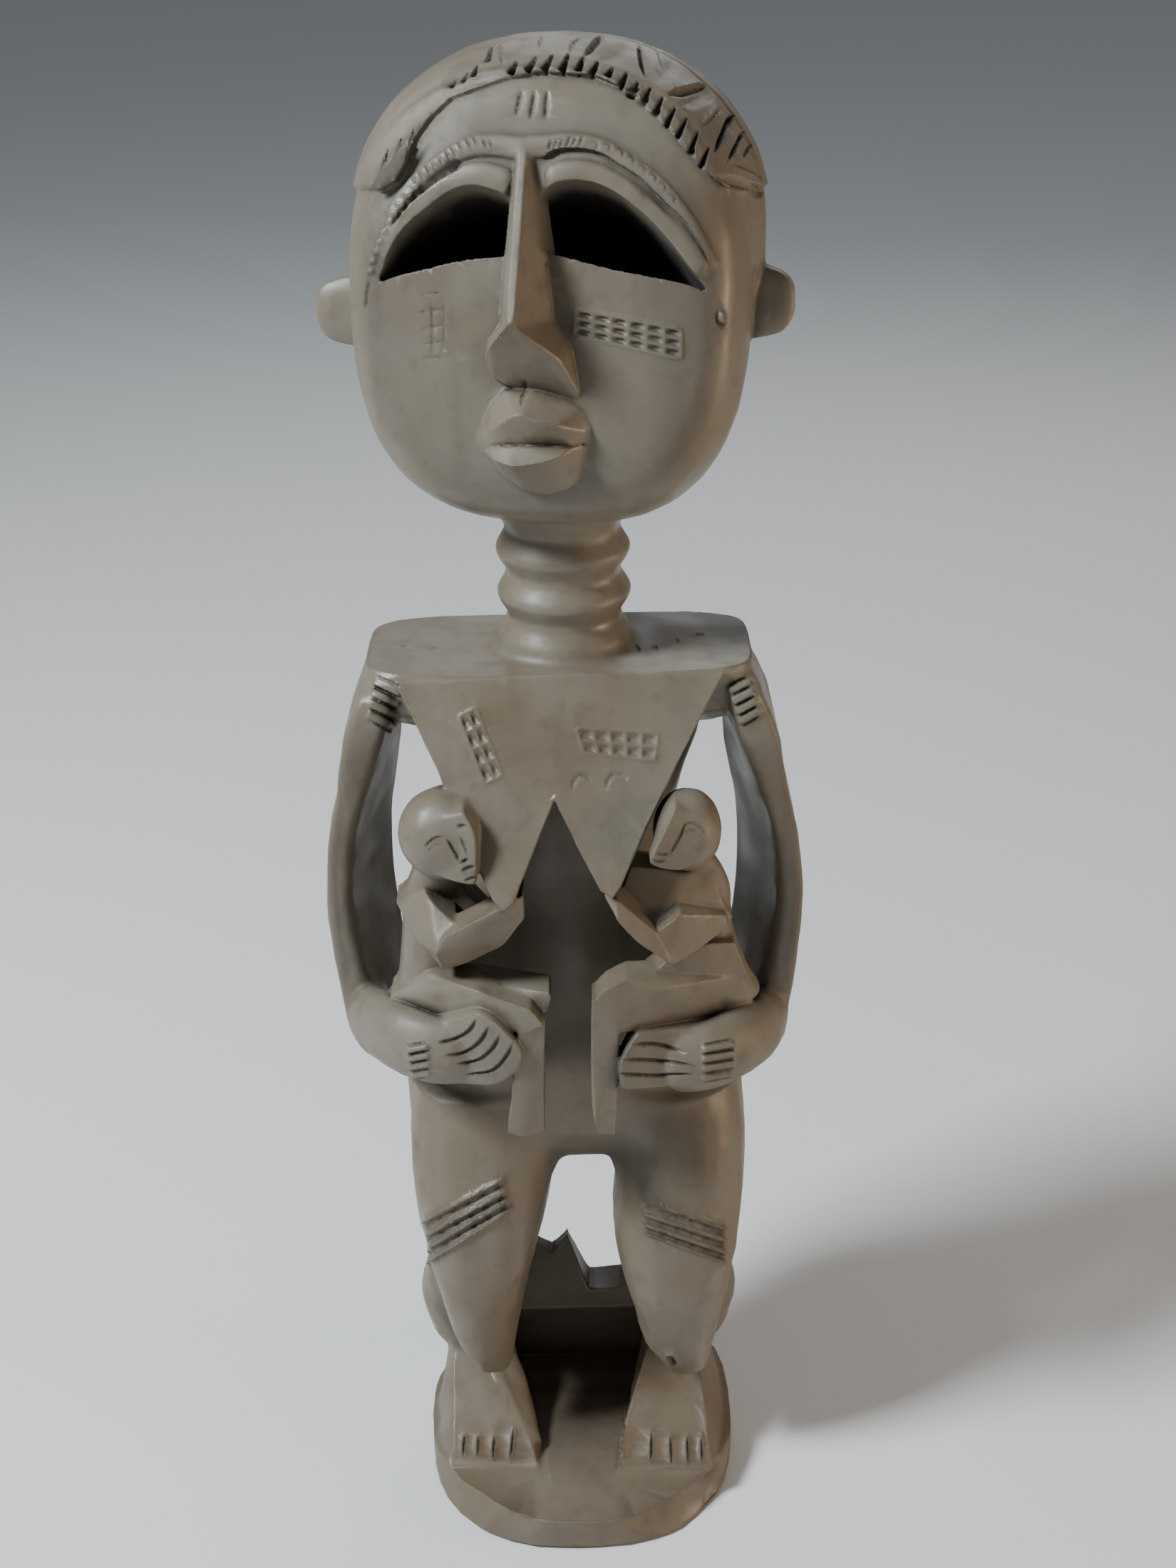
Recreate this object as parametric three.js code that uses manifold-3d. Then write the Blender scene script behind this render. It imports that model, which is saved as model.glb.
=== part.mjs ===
// A carved wooden figure of a standing mother who nurses two infants, on an oval base, cut from one block.
// Lengths are in millimetres, +Z is up, the figure faces -Y and the base's underside lies on Z = 0.
// A side of -1 is the half at -X and a side of +1 the half at +X.
import * as THREE from "three";
import { mergeVertices } from "three/addons/utils/BufferGeometryUtils.js";
import Module from "manifold-3d";

// Driving dimensions.
const FIGURE_HEIGHT = 487;
const BASE_THICKNESS = 13;
const BASE_SIDE_MARGIN = 6.5;
const BASE_FRONT_MARGIN = 28;
const BASE_BACK_MARGIN = 30;
const BASE_BEVEL = 2;

// The figure is drawn in millimetres as it measures at this height above its base, and grows with
// FIGURE_HEIGHT. Its stance on the base is given by the outer edge of the feet, the toes and the heels, and
// by how far its middle lies to +X.
const DRAWN_HEIGHT = 487;
const STANCE_HALF_WIDTH = 50;
const STANCE_MIDDLE = 1;
const TOE_LINE = -39;
const HEEL_LINE = 28;
const SUNK_IN_BASE = 1;

const WOOD = { color: 0x8e8273, roughness: 0.55, metalness: 0 };
const SIDES = [-1, 1];
const UP = new THREE.Vector3(0, 0, 1);
const BACKWARD = new THREE.Vector3(0, 1, 0);

const wasm = await Module();
wasm.setup();

function turnedOut(positions, index) {
  const corners = [0, 1, 2].map(() => new THREE.Vector3());
  let volume = 0;
  for (let first = 0; first < index.length; first += 3) {
    corners.forEach((corner, at) => corner.fromArray(positions, 3 * index[first + at]));
    volume += corners[0].dot(corners[1].clone().cross(corners[2]));
  }
  return volume > 0 ? index : index.reverse();
}

// A closed geometry becomes a solid whose faces point out, whichever way its sections were listed.
function toSolid(geometry) {
  geometry.deleteAttribute("normal");
  geometry.deleteAttribute("uv");
  const merged = mergeVertices(geometry, 1e-4);
  const vertProperties = new Float32Array(merged.attributes.position.array);
  const triVerts = turnedOut(vertProperties, new Uint32Array(merged.index.array));
  return new wasm.Manifold(new wasm.Mesh({ numProp: 3, vertProperties, triVerts }));
}

// A form of the figure, given as drawn, grown to the figure's height and stood on the base.
function form(geometry) {
  const grown = FIGURE_HEIGHT / DRAWN_HEIGHT;
  geometry.scale(grown, grown, grown);
  geometry.translate(0, 0, BASE_THICKNESS);
  return toSolid(geometry);
}

function joined(solids) {
  return solids.reduce((whole, solid) => whole.add(solid));
}

function mirrored(side, [x, y, z]) {
  return [side * x, y, z];
}

// A closed skin over a stack of rings that have equally many points, with a fan over each end.
function skin(rings) {
  const count = rings[0].length;
  const points = rings.flat();
  const triangles = [];
  for (let ring = 0; ring < rings.length - 1; ring += 1) {
    for (let step = 0; step < count; step += 1) {
      const low = ring * count;
      const next = (step + 1) % count;
      triangles.push(low + step, low + next, low + count + next);
      triangles.push(low + step, low + count + next, low + count + step);
    }
  }
  const lastRing = (rings.length - 1) * count;
  for (const [start, turn] of [[0, -1], [lastRing, 1]]) {
    const centre = new THREE.Vector3();
    points.slice(start, start + count).forEach((point) => centre.addScaledVector(point, 1 / count));
    const hub = points.push(centre) - 1;
    for (let step = 0; step < count; step += 1) {
      const rim = [start + step, start + ((step + 1) % count)];
      triangles.push(hub, ...(turn > 0 ? rim : rim.reverse()));
    }
  }
  const geometry = new THREE.BufferGeometry().setFromPoints(points);
  geometry.setIndex(triangles);
  return geometry;
}

// One coordinate pair on a superellipse: power 2 is an ellipse and a higher power is squarer.
function onOval(angle, halfWidth, halfDepth, power) {
  const bend = (value) => Math.sign(value) * Math.abs(value) ** (2 / power);
  return [halfWidth * bend(Math.cos(angle)), halfDepth * bend(Math.sin(angle))];
}

function anglesOf(count) {
  return Array.from({ length: count }, (_, step) => (2 * Math.PI * step) / count);
}

function ovalRing(halfWidth, halfHeight, power, sides, place) {
  return anglesOf(sides).map((angle) => place(...onOval(angle, halfWidth, halfHeight, power)));
}

// An upright form of oval level sections. A row is [z, x, y, half width, half depth].
function column(rows, { power = 2.2, sides = 20 } = {}) {
  return skin(rows.map(([z, x, y, halfWidth, halfDepth]) => {
    const place = (across, along) => new THREE.Vector3(x + across, y + along, z);
    return ovalRing(halfWidth, halfDepth, power, sides, place);
  }));
}

// A form of oval sections that face the front. A row is [y, x, z, half width, half height].
function drawer(rows, { power = 2.2, sides = 16 } = {}) {
  return skin(rows.map(([y, x, z, halfWidth, halfHeight]) => {
    const place = (across, up) => new THREE.Vector3(x + across, y, z + up);
    return ovalRing(halfWidth, halfHeight, power, sides, place);
  }));
}

// A bar along a path. A row is [x, y, z, half thickness across, half thickness upward]. Each end is rounded
// unless it is sunk in another form.
function limb(rows, { sides = 8, rounded = [true, true] } = {}) {
  const places = rows.map(([x, y, z]) => new THREE.Vector3(x, y, z));
  const last = rows.length - 1;
  const rings = rows.map(([, , , thick, tall = thick], station) =>
    barRing(places[station], aheadAt(places, station), thick, tall, sides, UP));
  const tip = (station) => {
    const [, , , thick, tall = thick] = rows[station];
    const ahead = aheadAt(places, station);
    const reach = (station === 0 ? -TIP_REACH : TIP_REACH) * Math.min(thick, tall);
    const centre = places[station].clone().addScaledVector(ahead, reach);
    return barRing(centre, ahead, TIP_SCALE * thick, TIP_SCALE * tall, sides, UP);
  };
  if (rounded[0]) {
    rings.unshift(tip(0));
  }
  if (rounded[1]) {
    rings.push(tip(last));
  }
  return skin(rings);
}

// A rounded end adds one smaller ring, set out by a share of the bar's half thickness.
const TIP_REACH = 0.55;
const TIP_SCALE = 0.7;

function aheadAt(places, station) {
  const before = places[Math.max(station - 1, 0)];
  const after = places[Math.min(station + 1, places.length - 1)];
  return after.clone().sub(before).normalize();
}

function barRing(centre, ahead, thick, tall, sides, reference) {
  const across = new THREE.Vector3().crossVectors(ahead, reference).normalize();
  const upward = new THREE.Vector3().crossVectors(across, ahead).normalize();
  return anglesOf(sides).map((angle) => centre.clone()
    .addScaledVector(across, thick * Math.cos(angle))
    .addScaledVector(upward, tall * Math.sin(angle)));
}

// A blunt bar of a four-cornered section through a few points, for raised rails and as the tool of a cut.
function edgedBar(points, halfWidth) {
  const places = points.map((point) => new THREE.Vector3(...point));
  return skin(places.map((place, station) =>
    barRing(place, aheadAt(places, station), halfWidth, halfWidth, 4, BACKWARD)));
}

function ball([x, y, z], [halfWidth, halfDepth, halfHeight], sides = 12) {
  const geometry = new THREE.SphereGeometry(1, sides, Math.round(0.6 * sides));
  geometry.rotateX(Math.PI / 2);
  geometry.scale(halfWidth, halfDepth, halfHeight);
  geometry.translate(x, y, z);
  return geometry;
}

// The oval base reaches past the feet by its margins. Its front edge is chipped.
function base() {
  const grown = FIGURE_HEIGHT / DRAWN_HEIGHT;
  const front = grown * TOE_LINE - BASE_FRONT_MARGIN;
  const back = grown * HEEL_LINE + BASE_BACK_MARGIN;
  const halfWidth = grown * STANCE_HALF_WIDTH + BASE_SIDE_MARGIN;
  const halfDepth = (back - front) / 2;
  const middle = [grown * STANCE_MIDDLE, (front + back) / 2];
  const oval = (z, inset) => [z, ...middle, halfWidth - inset, halfDepth - inset];
  const plate = toSolid(column([
    oval(0, 0.5 * BASE_BEVEL),
    oval(0.5 * BASE_BEVEL, 0),
    oval(BASE_THICKNESS - BASE_BEVEL, 0),
    oval(BASE_THICKNESS, BASE_BEVEL),
  ], { power: 2.5, sides: 30 }));
  const chips = [[-0.3, 10, 3], [0.05, 13, 2.5], [0.5, 12, 3]].map(([turn, reach, bite]) => {
    const [across, along] = onOval(turn - Math.PI / 2, halfWidth, halfDepth, 2.5);
    const chip = ball([0, 0, 0], [reach, bite + 1, bite], 8);
    return toSolid(chip.rotateZ(turn).translate(middle[0] + across, middle[1] + along - 1, BASE_THICKNESS));
  });
  return chips.reduce((whole, chip) => whole.subtract(chip), plate);
}

// The trunk is slim at the chest and widens to the hips, with the seat behind.
function trunk() {
  const waist = form(column([
    [118, 3, 4, 26, 18],
    [127, 2, 3, 44, 26],
    [142, 0, 3, 55, 32],
    [162, 0, 5, 54, 34],
    [182, 0, 3, 47, 28],
    [210, 0, 0, 37, 23],
    [240, 0, 0, 36, 22],
    [275, 0, -1, 44, 24],
    [300, 0, 0, 52, 25],
  ], { sides: 17 }));
  const seat = SIDES.map((side) => form(ball(mirrored(side, [25, 17, 143]), [26, 23, 27], 10)));
  return joined([waist, ...seat]);
}

const SHOULDER_TOP = 305;
const SHOULDER_HALF_WIDTH = 61;

// The shoulders are one flat shelf with blunt, rounded ends.
function shoulders() {
  const half = SHOULDER_HALF_WIDTH;
  return form(column([
    [SHOULDER_TOP - 20, 0, 0, half - 8, 20],
    [SHOULDER_TOP - 13, 0, 0, half - 1, 25],
    [SHOULDER_TOP - 2, 0, 0, half, 26.5],
    [SHOULDER_TOP, 0, 0, half - 1.5, 25],
  ], { power: 3, sides: 26 }));
}

// The chest is a flat leaning plate that ends below in two pointed breasts.
const CHEST_TOP_FRONT = -25.5;
const CHEST_LEAN = 0.46;
const CHEST_OUTLINE = [[-50.5, 303.5], [50.5, 303.5], [37, 281], [26, 262], [18, 245], [14, 242], [10, 246],
  [-2, 268], [-14, 242], [-18, 239], [-22, 243], [-29, 259], [-38, 279]];

function chest() {
  const depth = 34;
  const bevel = 1.5;
  const shape = new THREE.Shape(CHEST_OUTLINE.map(([x, z]) => new THREE.Vector2(x, z)));
  const plate = new THREE.ExtrudeGeometry(shape, {
    depth: depth - bevel,
    bevelEnabled: true,
    bevelThickness: bevel,
    bevelSize: bevel,
    bevelOffset: -bevel,
    bevelSegments: 1,
  });
  plate.rotateX(Math.PI / 2);
  const lean = new THREE.Matrix4().set(1, 0, 0, 0, 0, 1, CHEST_LEAN, 0, 0, 0, 1, 0, 0, 0, 0, 1);
  plate.applyMatrix4(lean);
  plate.translate(0, CHEST_TOP_FRONT - CHEST_LEAN * SHOULDER_TOP + depth, 0);
  return form(plate);
}

// The neck swells into rings and flares a little where it meets the shoulders.
const NECK_RADIUS = 19.4;
const NECK_RING_PITCH = 14;
const NECK_RING_SWELL = 1.6;
const NECK_RINGS = 5;
const NECK_FLARE = 3;

function neck() {
  const bottom = SHOULDER_TOP - 3;
  const profile = [new THREE.Vector2(0, bottom)];
  for (let half = 0; half <= 2 * NECK_RINGS; half += 1) {
    const swell = half % 2 === 1 ? NECK_RING_SWELL : -NECK_RING_SWELL;
    const flare = half === 0 ? NECK_FLARE : 0;
    profile.push(new THREE.Vector2(NECK_RADIUS + swell + flare, bottom + 0.5 * NECK_RING_PITCH * half));
  }
  profile.push(new THREE.Vector2(0, bottom + NECK_RINGS * NECK_RING_PITCH));
  return form(new THREE.LatheGeometry(profile, 14).rotateX(Math.PI / 2).translate(2, -1, 0));
}

// Head. Its own frame has the face at -Y and its origin inside the head, at the height of the eyes' foot.
const HEAD_PLACE = [3, 0, 421];
const HEAD_TURN = -11 * THREE.MathUtils.DEG2RAD;
const HEAD_TILT = -6 * THREE.MathUtils.DEG2RAD;

function onHead(geometry) {
  return form(geometry.rotateX(HEAD_TILT).rotateZ(HEAD_TURN).translate(...HEAD_PLACE));
}

// A level of the head: an oval outline whose upper and lower halves have their own reach.
function headRing(y, { halfWidth, middle, rise, drop, powerUp, powerDown }, scaleAcross, scaleUp, sides) {
  return anglesOf(sides).map((angle) => {
    const upper = Math.sin(angle) > 0;
    const reach = upper ? rise * scaleUp : drop * scaleAcross;
    const [across, up] = onOval(angle, halfWidth * scaleAcross, reach, upper ? powerUp : powerDown);
    return new THREE.Vector3(across, y, middle + up);
  });
}

const FACE = { halfWidth: 58, middle: -3, rise: 66, drop: 68, powerUp: 2.4, powerDown: 2.8 };
const HAIR = { halfWidth: 60.8, middle: 10, rise: 56, drop: 50, powerUp: 2.2, powerDown: 2.2 };
const FACE_LEVELS = [[-37.5, 0.62, 0.45], [-35, 0.82, 0.68], [-28, 0.95, 0.88], [-16, 1, 0.93],
  [2, 0.97, 0.91], [16, 0.78, 0.75]];
const HAIR_LEVELS = [[-28.5, 0.83], [-25, 0.89], [-12, 0.97], [6, 1], [27, 0.92], [41, 0.71], [48, 0.4]];

function faceAndHair() {
  const face = skin(FACE_LEVELS.map(([y, across, up]) => headRing(y, FACE, across, up, 26)));
  const hair = skin(HAIR_LEVELS.map(([y, scale]) => headRing(y, HAIR, scale, scale, 22)));
  return joined([onHead(face), onHead(hair)]);
}

// The ear at -X sits lower and stands out further than the other.
function ear(side) {
  const [reach, z] = side < 0 ? [74.5, -13.5] : [68.5, -8];
  const row = (y, inset) => [y, side * (reach - 16), z, 16 - inset, 10.5 - inset];
  return onHead(drawer([row(-1, 2), row(1, 0), row(8, 0), row(10, 2)], { power: 3, sides: 11 }));
}

// Arches over the eyes, from the nose to the temple.
const BROW_LINE = [[3, -36.5, 35.5], [15, -36.5, 35.5], [27, -35.5, 31.5], [38, -33.5, 24], [46, -30, 14],
  [50.5, -25.5, 3], [52, -22, -7]];
const LID_LINE = [[6, -37.5, 29.5], [14, -38, 30.5], [24, -37.5, 28], [34, -35.5, 21], [42, -32.5, 11.5],
  [46.5, -29.5, 3]];
const SOCKET = [[7.5, 6.2], [6, 20], [12, 25.5], [22, 24], [32, 17.5], [40, 9.5], [45.5, 2]];

function arch(side, line, thick, tall) {
  const rows = line.map((point) => [...mirrored(side, point), thick, tall]);
  return onHead(limb(rows, { sides: 5, rounded: [false, true] }));
}

// The eyes are hollows with a level foot, cut straight in and a little narrower behind.
function socket(side) {
  const [middleX, middleZ] = [25, 13];
  const ring = (y, scale, lift) => SOCKET.map(([x, z]) =>
    new THREE.Vector3(side * (middleX + scale * (x - middleX)), y, middleZ + scale * (z - middleZ) + lift));
  return onHead(skin([ring(-60, 1, 0), ring(-36, 1, 0), ring(-22, 0.84, 1)]));
}

// The nose is a long narrow bar that stands out more towards its blunt tip, where it spreads to the nostrils.
// Its ridge runs a little to -X.
function nose() {
  const root = -33;
  const level = (z, ridge, ridgeX, halfRidge, halfSide, halfRoot) => {
    const side = 0.5 * (ridge + root);
    return [
      [-halfRoot, root], [-halfSide, side], [ridgeX - halfRidge, ridge],
      [ridgeX + halfRidge, ridge], [halfSide, side], [halfRoot, root],
    ].map(([x, y]) => new THREE.Vector3(x, y, z));
  };
  return onHead(skin([
    level(38, -38, -0.5, 1.5, 2.8, 4),
    level(26, -43, -0.8, 1.6, 3.6, 5.5),
    level(6, -50.5, -1.5, 1.8, 5, 8),
    level(-12, -58, -2.4, 2.2, 7, 10.5),
    level(-17, -57.5, -2.4, 3.5, 12, 13),
    level(-26, -49, -1.2, 8, 14.5, 14),
    level(-31, -39, 0, 8, 11.5, 12),
  ]));
}

function mouth() {
  const upper = SIDES.map((side) => onHead(limb([
    [side * 2 - 1, -41, -36, 6.5, 6],
    [side * 9 - 1, -40.5, -38.5, 6, 4.8],
    [side * 16.5 - 0.5, -36.5, -43.5, 3, 1.8],
  ], { sides: 6 })));
  const lower = onHead(limb([
    [-16, -36.5, -45.5, 3, 2],
    [-9, -40, -49.5, 6.5, 5.8],
    [-1, -41.5, -51, 7.5, 7.4],
    [8, -40, -49.5, 6.5, 5.8],
    [15.5, -36.5, -45.5, 3, 2],
  ], { sides: 6 }));
  const philtrum = onHead(limb([[0, -38, -25, 4, 2], [-1, -40, -35, 4, 3]], { sides: 5 }));
  return joined([...upper, lower, philtrum]);
}

// Cuts on the head are edged bars, sunk halfway.
function headCut(points, halfWidth) {
  return onHead(edgedBar(points, halfWidth));
}

// How far forward the face lies at a place on it, read off between its levels.
function faceFront(x, z) {
  const height = z - FACE.middle;
  const [reach, power] = height > 0 ? [FACE.rise, FACE.powerUp] : [FACE.drop, FACE.powerDown];
  const fill = FACE_LEVELS.map(([, across, up]) => {
    const upward = height > 0 ? up : across;
    const shares = [x / (FACE.halfWidth * across), height / (reach * upward)];
    return Math.abs(shares[0]) ** power + Math.abs(shares[1]) ** power;
  });
  const next = fill.findIndex((share) => share <= 1);
  if (next <= 0) {
    return FACE_LEVELS[0][0];
  }
  const share = (fill[next - 1] - 1) / (fill[next - 1] - fill[next]);
  return FACE_LEVELS[next - 1][0] + share * (FACE_LEVELS[next][0] - FACE_LEVELS[next - 1][0]);
}

// A cut along the face through places given by [x, z].
function faceCut(...places) {
  return headCut(places.map(([x, z]) => [x, faceFront(x, z), z]), FACE_CUT);
}

const FACE_CUT = 0.85;

function foreheadMarks() {
  return [-2.5, 2, 6.5].map((x) => faceCut([x, 44], [x, 51]));
}

// The cheek at -X has two upright cuts and the other three long cuts that slant down and out.
function cheekMarks() {
  const upright = [-31, -23.5].map((x) => faceCut([x, -1], [x, -23]));
  const slanting = [0, 3.8, 7.6].map((drop) =>
    faceCut([14, -6.5 - drop], [34, -9.7 - drop], [44, -11.3 - drop]));
  return [...upright, ...slanting];
}

// The hair's front edge is cut into teeth, and fans of grooves run back from it. Angles are counted from +X.
const TEETH = { count: 12, from: 0.12 * Math.PI, to: 0.84 * Math.PI, halfWidth: 1.4 };
const GROOVES = { angles: [22, 47, 76, 104, 144], twist: 3.5, halfWidth: 1.5 };

function hairCuts() {
  const onHair = (angle, y, scale) => {
    const [across, up] = onOval(angle, HAIR.halfWidth * scale, HAIR.rise * scale, HAIR.powerUp);
    return [across, y, HAIR.middle + up];
  };
  const pitch = (TEETH.to - TEETH.from) / (TEETH.count - 1);
  const teeth = Array.from({ length: TEETH.count }, (_, tooth) => TEETH.from + pitch * tooth).map((angle) =>
    headCut([onHair(angle, -30, 0.84), onHair(angle, -21, 0.95)], TEETH.halfWidth));
  const grooves = GROOVES.angles.map((degrees) => {
    const [front, back] = [degrees, degrees + GROOVES.twist].map((angle) => angle * THREE.MathUtils.DEG2RAD);
    return headCut([onHair(front, -19, 0.955), onHair(back, 3, 1.01)], GROOVES.halfWidth);
  });
  return [...teeth, ...grooves];
}

function head() {
  const parts = [faceAndHair(), mouth()];
  for (const side of SIDES) {
    parts.push(ear(side), arch(side, BROW_LINE, 3, 2.6), arch(side, LID_LINE, 3.4, 3.6));
  }
  const cuts = [...SIDES.map(socket), ...foreheadMarks(), ...hairCuts(), ...cheekMarks()];
  return cuts.reduce((whole, cut) => whole.subtract(cut), joined(parts)).add(nose());
}

// Arms hang clear of the trunk. The section is a wedge, narrow in front and wide behind.
function arm(side) {
  const rows = [
    [306, 57, 6, -20, 12, 10],
    [300, 62, 12, -27, 12, 16],
    [284, 66.5, 14, -26, 12, 18],
    [262, 72, 11, -22, 13, 20],
    [240, 76.5, 9, -20, 14, 21],
    [222, 78, 9, -20, 14, 22],
    [200, 76.5, 10, -21, 14, 22],
    [182, 74, 13, -22, 12, 20],
    [168, 68, 13, -20, 4, 13],
    [162, 62, 6, -15, -4, 8],
  ];
  return form(skin(rows.map(([z, outer, frontWidth, front, back, backWidth]) => [
    [outer - frontWidth, front], [outer - 1.5, front], [outer, front + 4], [outer, back - 5],
    [outer - 4, back], [outer - backWidth + 2, back], [outer - backWidth, back - 4],
  ].map(([x, y]) => new THREE.Vector3(side * x, y, z)))));
}

function forearm(side) {
  return form(limb([
    [side * 66, -8, 172, 8, 10],
    [side * 63, -27, 178 + wristLift(side), 8, 11],
    [side * 53, -44, 182 + wristLift(side), 7.5, 11.5],
    [side * 43, -51, 182 + wristLift(side), 6.5, 11],
    [side * 34, -53, 181 + wristLift(side), 5, 10],
  ], { sides: 10 }));
}

// The wrist at -X is held higher.
function wristLift(side) {
  return side < 0 ? 5 : 0;
}

// The hand at -X bends its fingers over the infant's leg, the hand at +X lays them out straight.
const FINGER_PITCH = 5.3;

function fingers(side) {
  return [0, 1, 2, 3].map((place) => {
    const drop = FINGER_PITCH * place;
    const straight = [
      [42, -53, 190 - drop, 3, 2.5],
      [29, -56, 190 - drop, 3, 2.5],
      [18, -58, 190 - drop, 2.6, 2.4],
    ];
    const bent = [
      [-46, -52, 200 - drop, 3, 2.5],
      [-34, -57, 199 - drop, 3.2, 2.5],
      [-25, -58, 192 - 0.87 * drop, 2.6, 2.1],
    ];
    return form(limb(side > 0 ? straight : bent, { sides: 5, rounded: [false, true] }));
  });
}

// Legs are bent, with knees that overhang the feet and calves that swell behind.
const THIGH_AT_MINUS_X = [
  [150, -27, 2, 29, 30],
  [130, -30.5, -4, 26, 31],
  [110, -31.5, -8, 25.2, 31.5],
  [92, -32, -12, 21.8, 29.5],
  [76, -32.5, -15, 18, 26],
  [62, -32.7, -18, 13.2, 21],
  [47, -32, -21, 8.6, 13],
  [36.5, -31, -23.5, 4.5, 7],
];
const THIGH_AT_PLUS_X = [
  [150, 30, 2, 29, 30],
  [130, 38.5, -4, 22.5, 31],
  [111, 37.4, -8, 23.3, 31.5],
  [97, 36.2, -11, 23.3, 30.5],
  [78, 35.7, -15, 21, 27],
  [62, 36.2, -18, 16.3, 21.5],
  [47, 36, -21, 12, 14],
  [34.5, 38, -23.5, 6, 7.5],
];
const THIGH_POWER = 2.4;

function thighRows(side) {
  return side < 0 ? THIGH_AT_MINUS_X : THIGH_AT_PLUS_X;
}

function leg(side) {
  const thigh = column(thighRows(side), { power: THIGH_POWER, sides: 13 });
  const out = side < 0 ? 0 : 1.5;
  const shank = column([
    [-SUNK_IN_BASE, 36, 12, 12, 14],
    [16, 38, 12.5, 11.6, 13.8],
    [29, 40.5, 12.5, 15, 17.5],
    [43, 41.5, 9.5, 16.5, 20],
    [60, 40, 3, 15.5, 20],
    [80, 35, -5, 15.5, 20],
  ].map(([z, x, ...rest]) => [z, side * (x + out), ...rest]), { sides: 12 });
  return joined([form(thigh), form(shank), foot(side)]);
}

// The feet fan out flat to five toes. The foot at +X is wider and stands further forward.
function foot(side) {
  const stance = side < 0
    ? { x: 30, half: 17, toes: TOE_LINE }
    : { x: 32, half: 17.2, toes: TOE_LINE - 5 };
  const sole = (y, x, halfWidth, height) =>
    [y, side * x, 0.5 * (height - SUNK_IN_BASE), halfWidth, 0.5 * (height + SUNK_IN_BASE)];
  const instep = drawer([
    sole(HEEL_LINE, 36, 9, 12),
    sole(20, 36, 12, 20),
    sole(4, 34, 12, 28),
    sole(-14, stance.x + 1, 15, 15),
    sole(stance.toes + 9, stance.x, stance.half, 7.5),
  ], { power: 2.6, sides: 10 });
  const toes = [];
  let edge = stance.x - stance.half;
  [0.25, 0.2, 0.19, 0.18, 0.18].forEach((share, place) => {
    const half = share * stance.half;
    const height = 4 - 0.25 * place;
    toes.push(form(limb([
      [side * (edge + half), stance.toes + 14, height, 0.96 * half, height],
      [side * (edge + half), stance.toes + 2 + 0.6 * place, 0.75 * height, 0.92 * half, 0.8 * height],
    ], { sides: 5, rounded: [false, true] })));
    edge += 2 * half;
  });
  return joined([form(instep), ...toes]);
}

// Where the front of a thigh lies at a place across it and a height.
function thighFront(side, x, z) {
  const rows = thighRows(side);
  const below = Math.max(rows.findIndex((row) => row[0] <= z), 1);
  const share = (rows[below - 1][0] - z) / (rows[below - 1][0] - rows[below][0]);
  const [, middleX, middleY, halfWidth, halfDepth] = rows[below].map((value, at) =>
    rows[below - 1][at] + share * (value - rows[below - 1][at]));
  const across = Math.min(Math.abs(x - middleX) / halfWidth, 0.98);
  return middleY - halfDepth * (1 - across ** THIGH_POWER) ** (1 / THIGH_POWER);
}

// Each thigh wears a slanting band of four raised rails, which arch up over the front of the thigh.
function band(side) {
  const [outer, inner, pitch] = side < 0 ? [[-52.5, 106], [-23, 125.5], 5] : [[54, 102], [23.5, 115.5], 4.9];
  const place = (share, row) => {
    const x = outer[0] + share * (inner[0] - outer[0]);
    const line = outer[1] + share * (inner[1] - outer[1]) - pitch * row * (1 - 0.15 * share);
    const z = line - 0.5 * (thighFront(side, x, line) + 36);
    return [x, thighFront(side, x, z), z];
  };
  return joined([0, 1, 2, 3].map((row) =>
    form(edgedBar([0.03, 0.35, 0.68, 1].map((share) => place(share, row)), 1.5))));
}

// Raised ribs on the shoulders.
function shoulderRibs(side) {
  const ribs = [297, 291.5, 286].map((z, row) =>
    form(edgedBar([[side * (50.5 + row), -27, z], [side * (64.5 + row), -26.5, z + 2]], 1.8)));
  return joined(ribs);
}

// A web of wood joins the calves, open above in a V. Its top slopes down towards the front.
const WEB = { back: 27, thickness: 16, slope: 0.45 };
const WEB_OUTLINE = [[-33, -SUNK_IN_BASE], [33, -SUNK_IN_BASE], [34, 67], [26, 53], [17, 38], [5, 38],
  [-3, 57], [-9, 50], [-20, 58], [-33, 72]];

function web() {
  const shape = new THREE.Shape(WEB_OUTLINE.map(([x, z]) => new THREE.Vector2(x, z)));
  const wall = new THREE.ExtrudeGeometry(shape, { depth: WEB.thickness, bevelEnabled: false });
  wall.rotateX(Math.PI / 2);
  wall.applyMatrix4(new THREE.Matrix4().set(1, 0, 0, 0, 0, 1, 0, 0, 0, WEB.slope, 1, 0, 0, 0, 0, 1));
  return form(wall.translate(0, WEB.back, 0));
}

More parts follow.
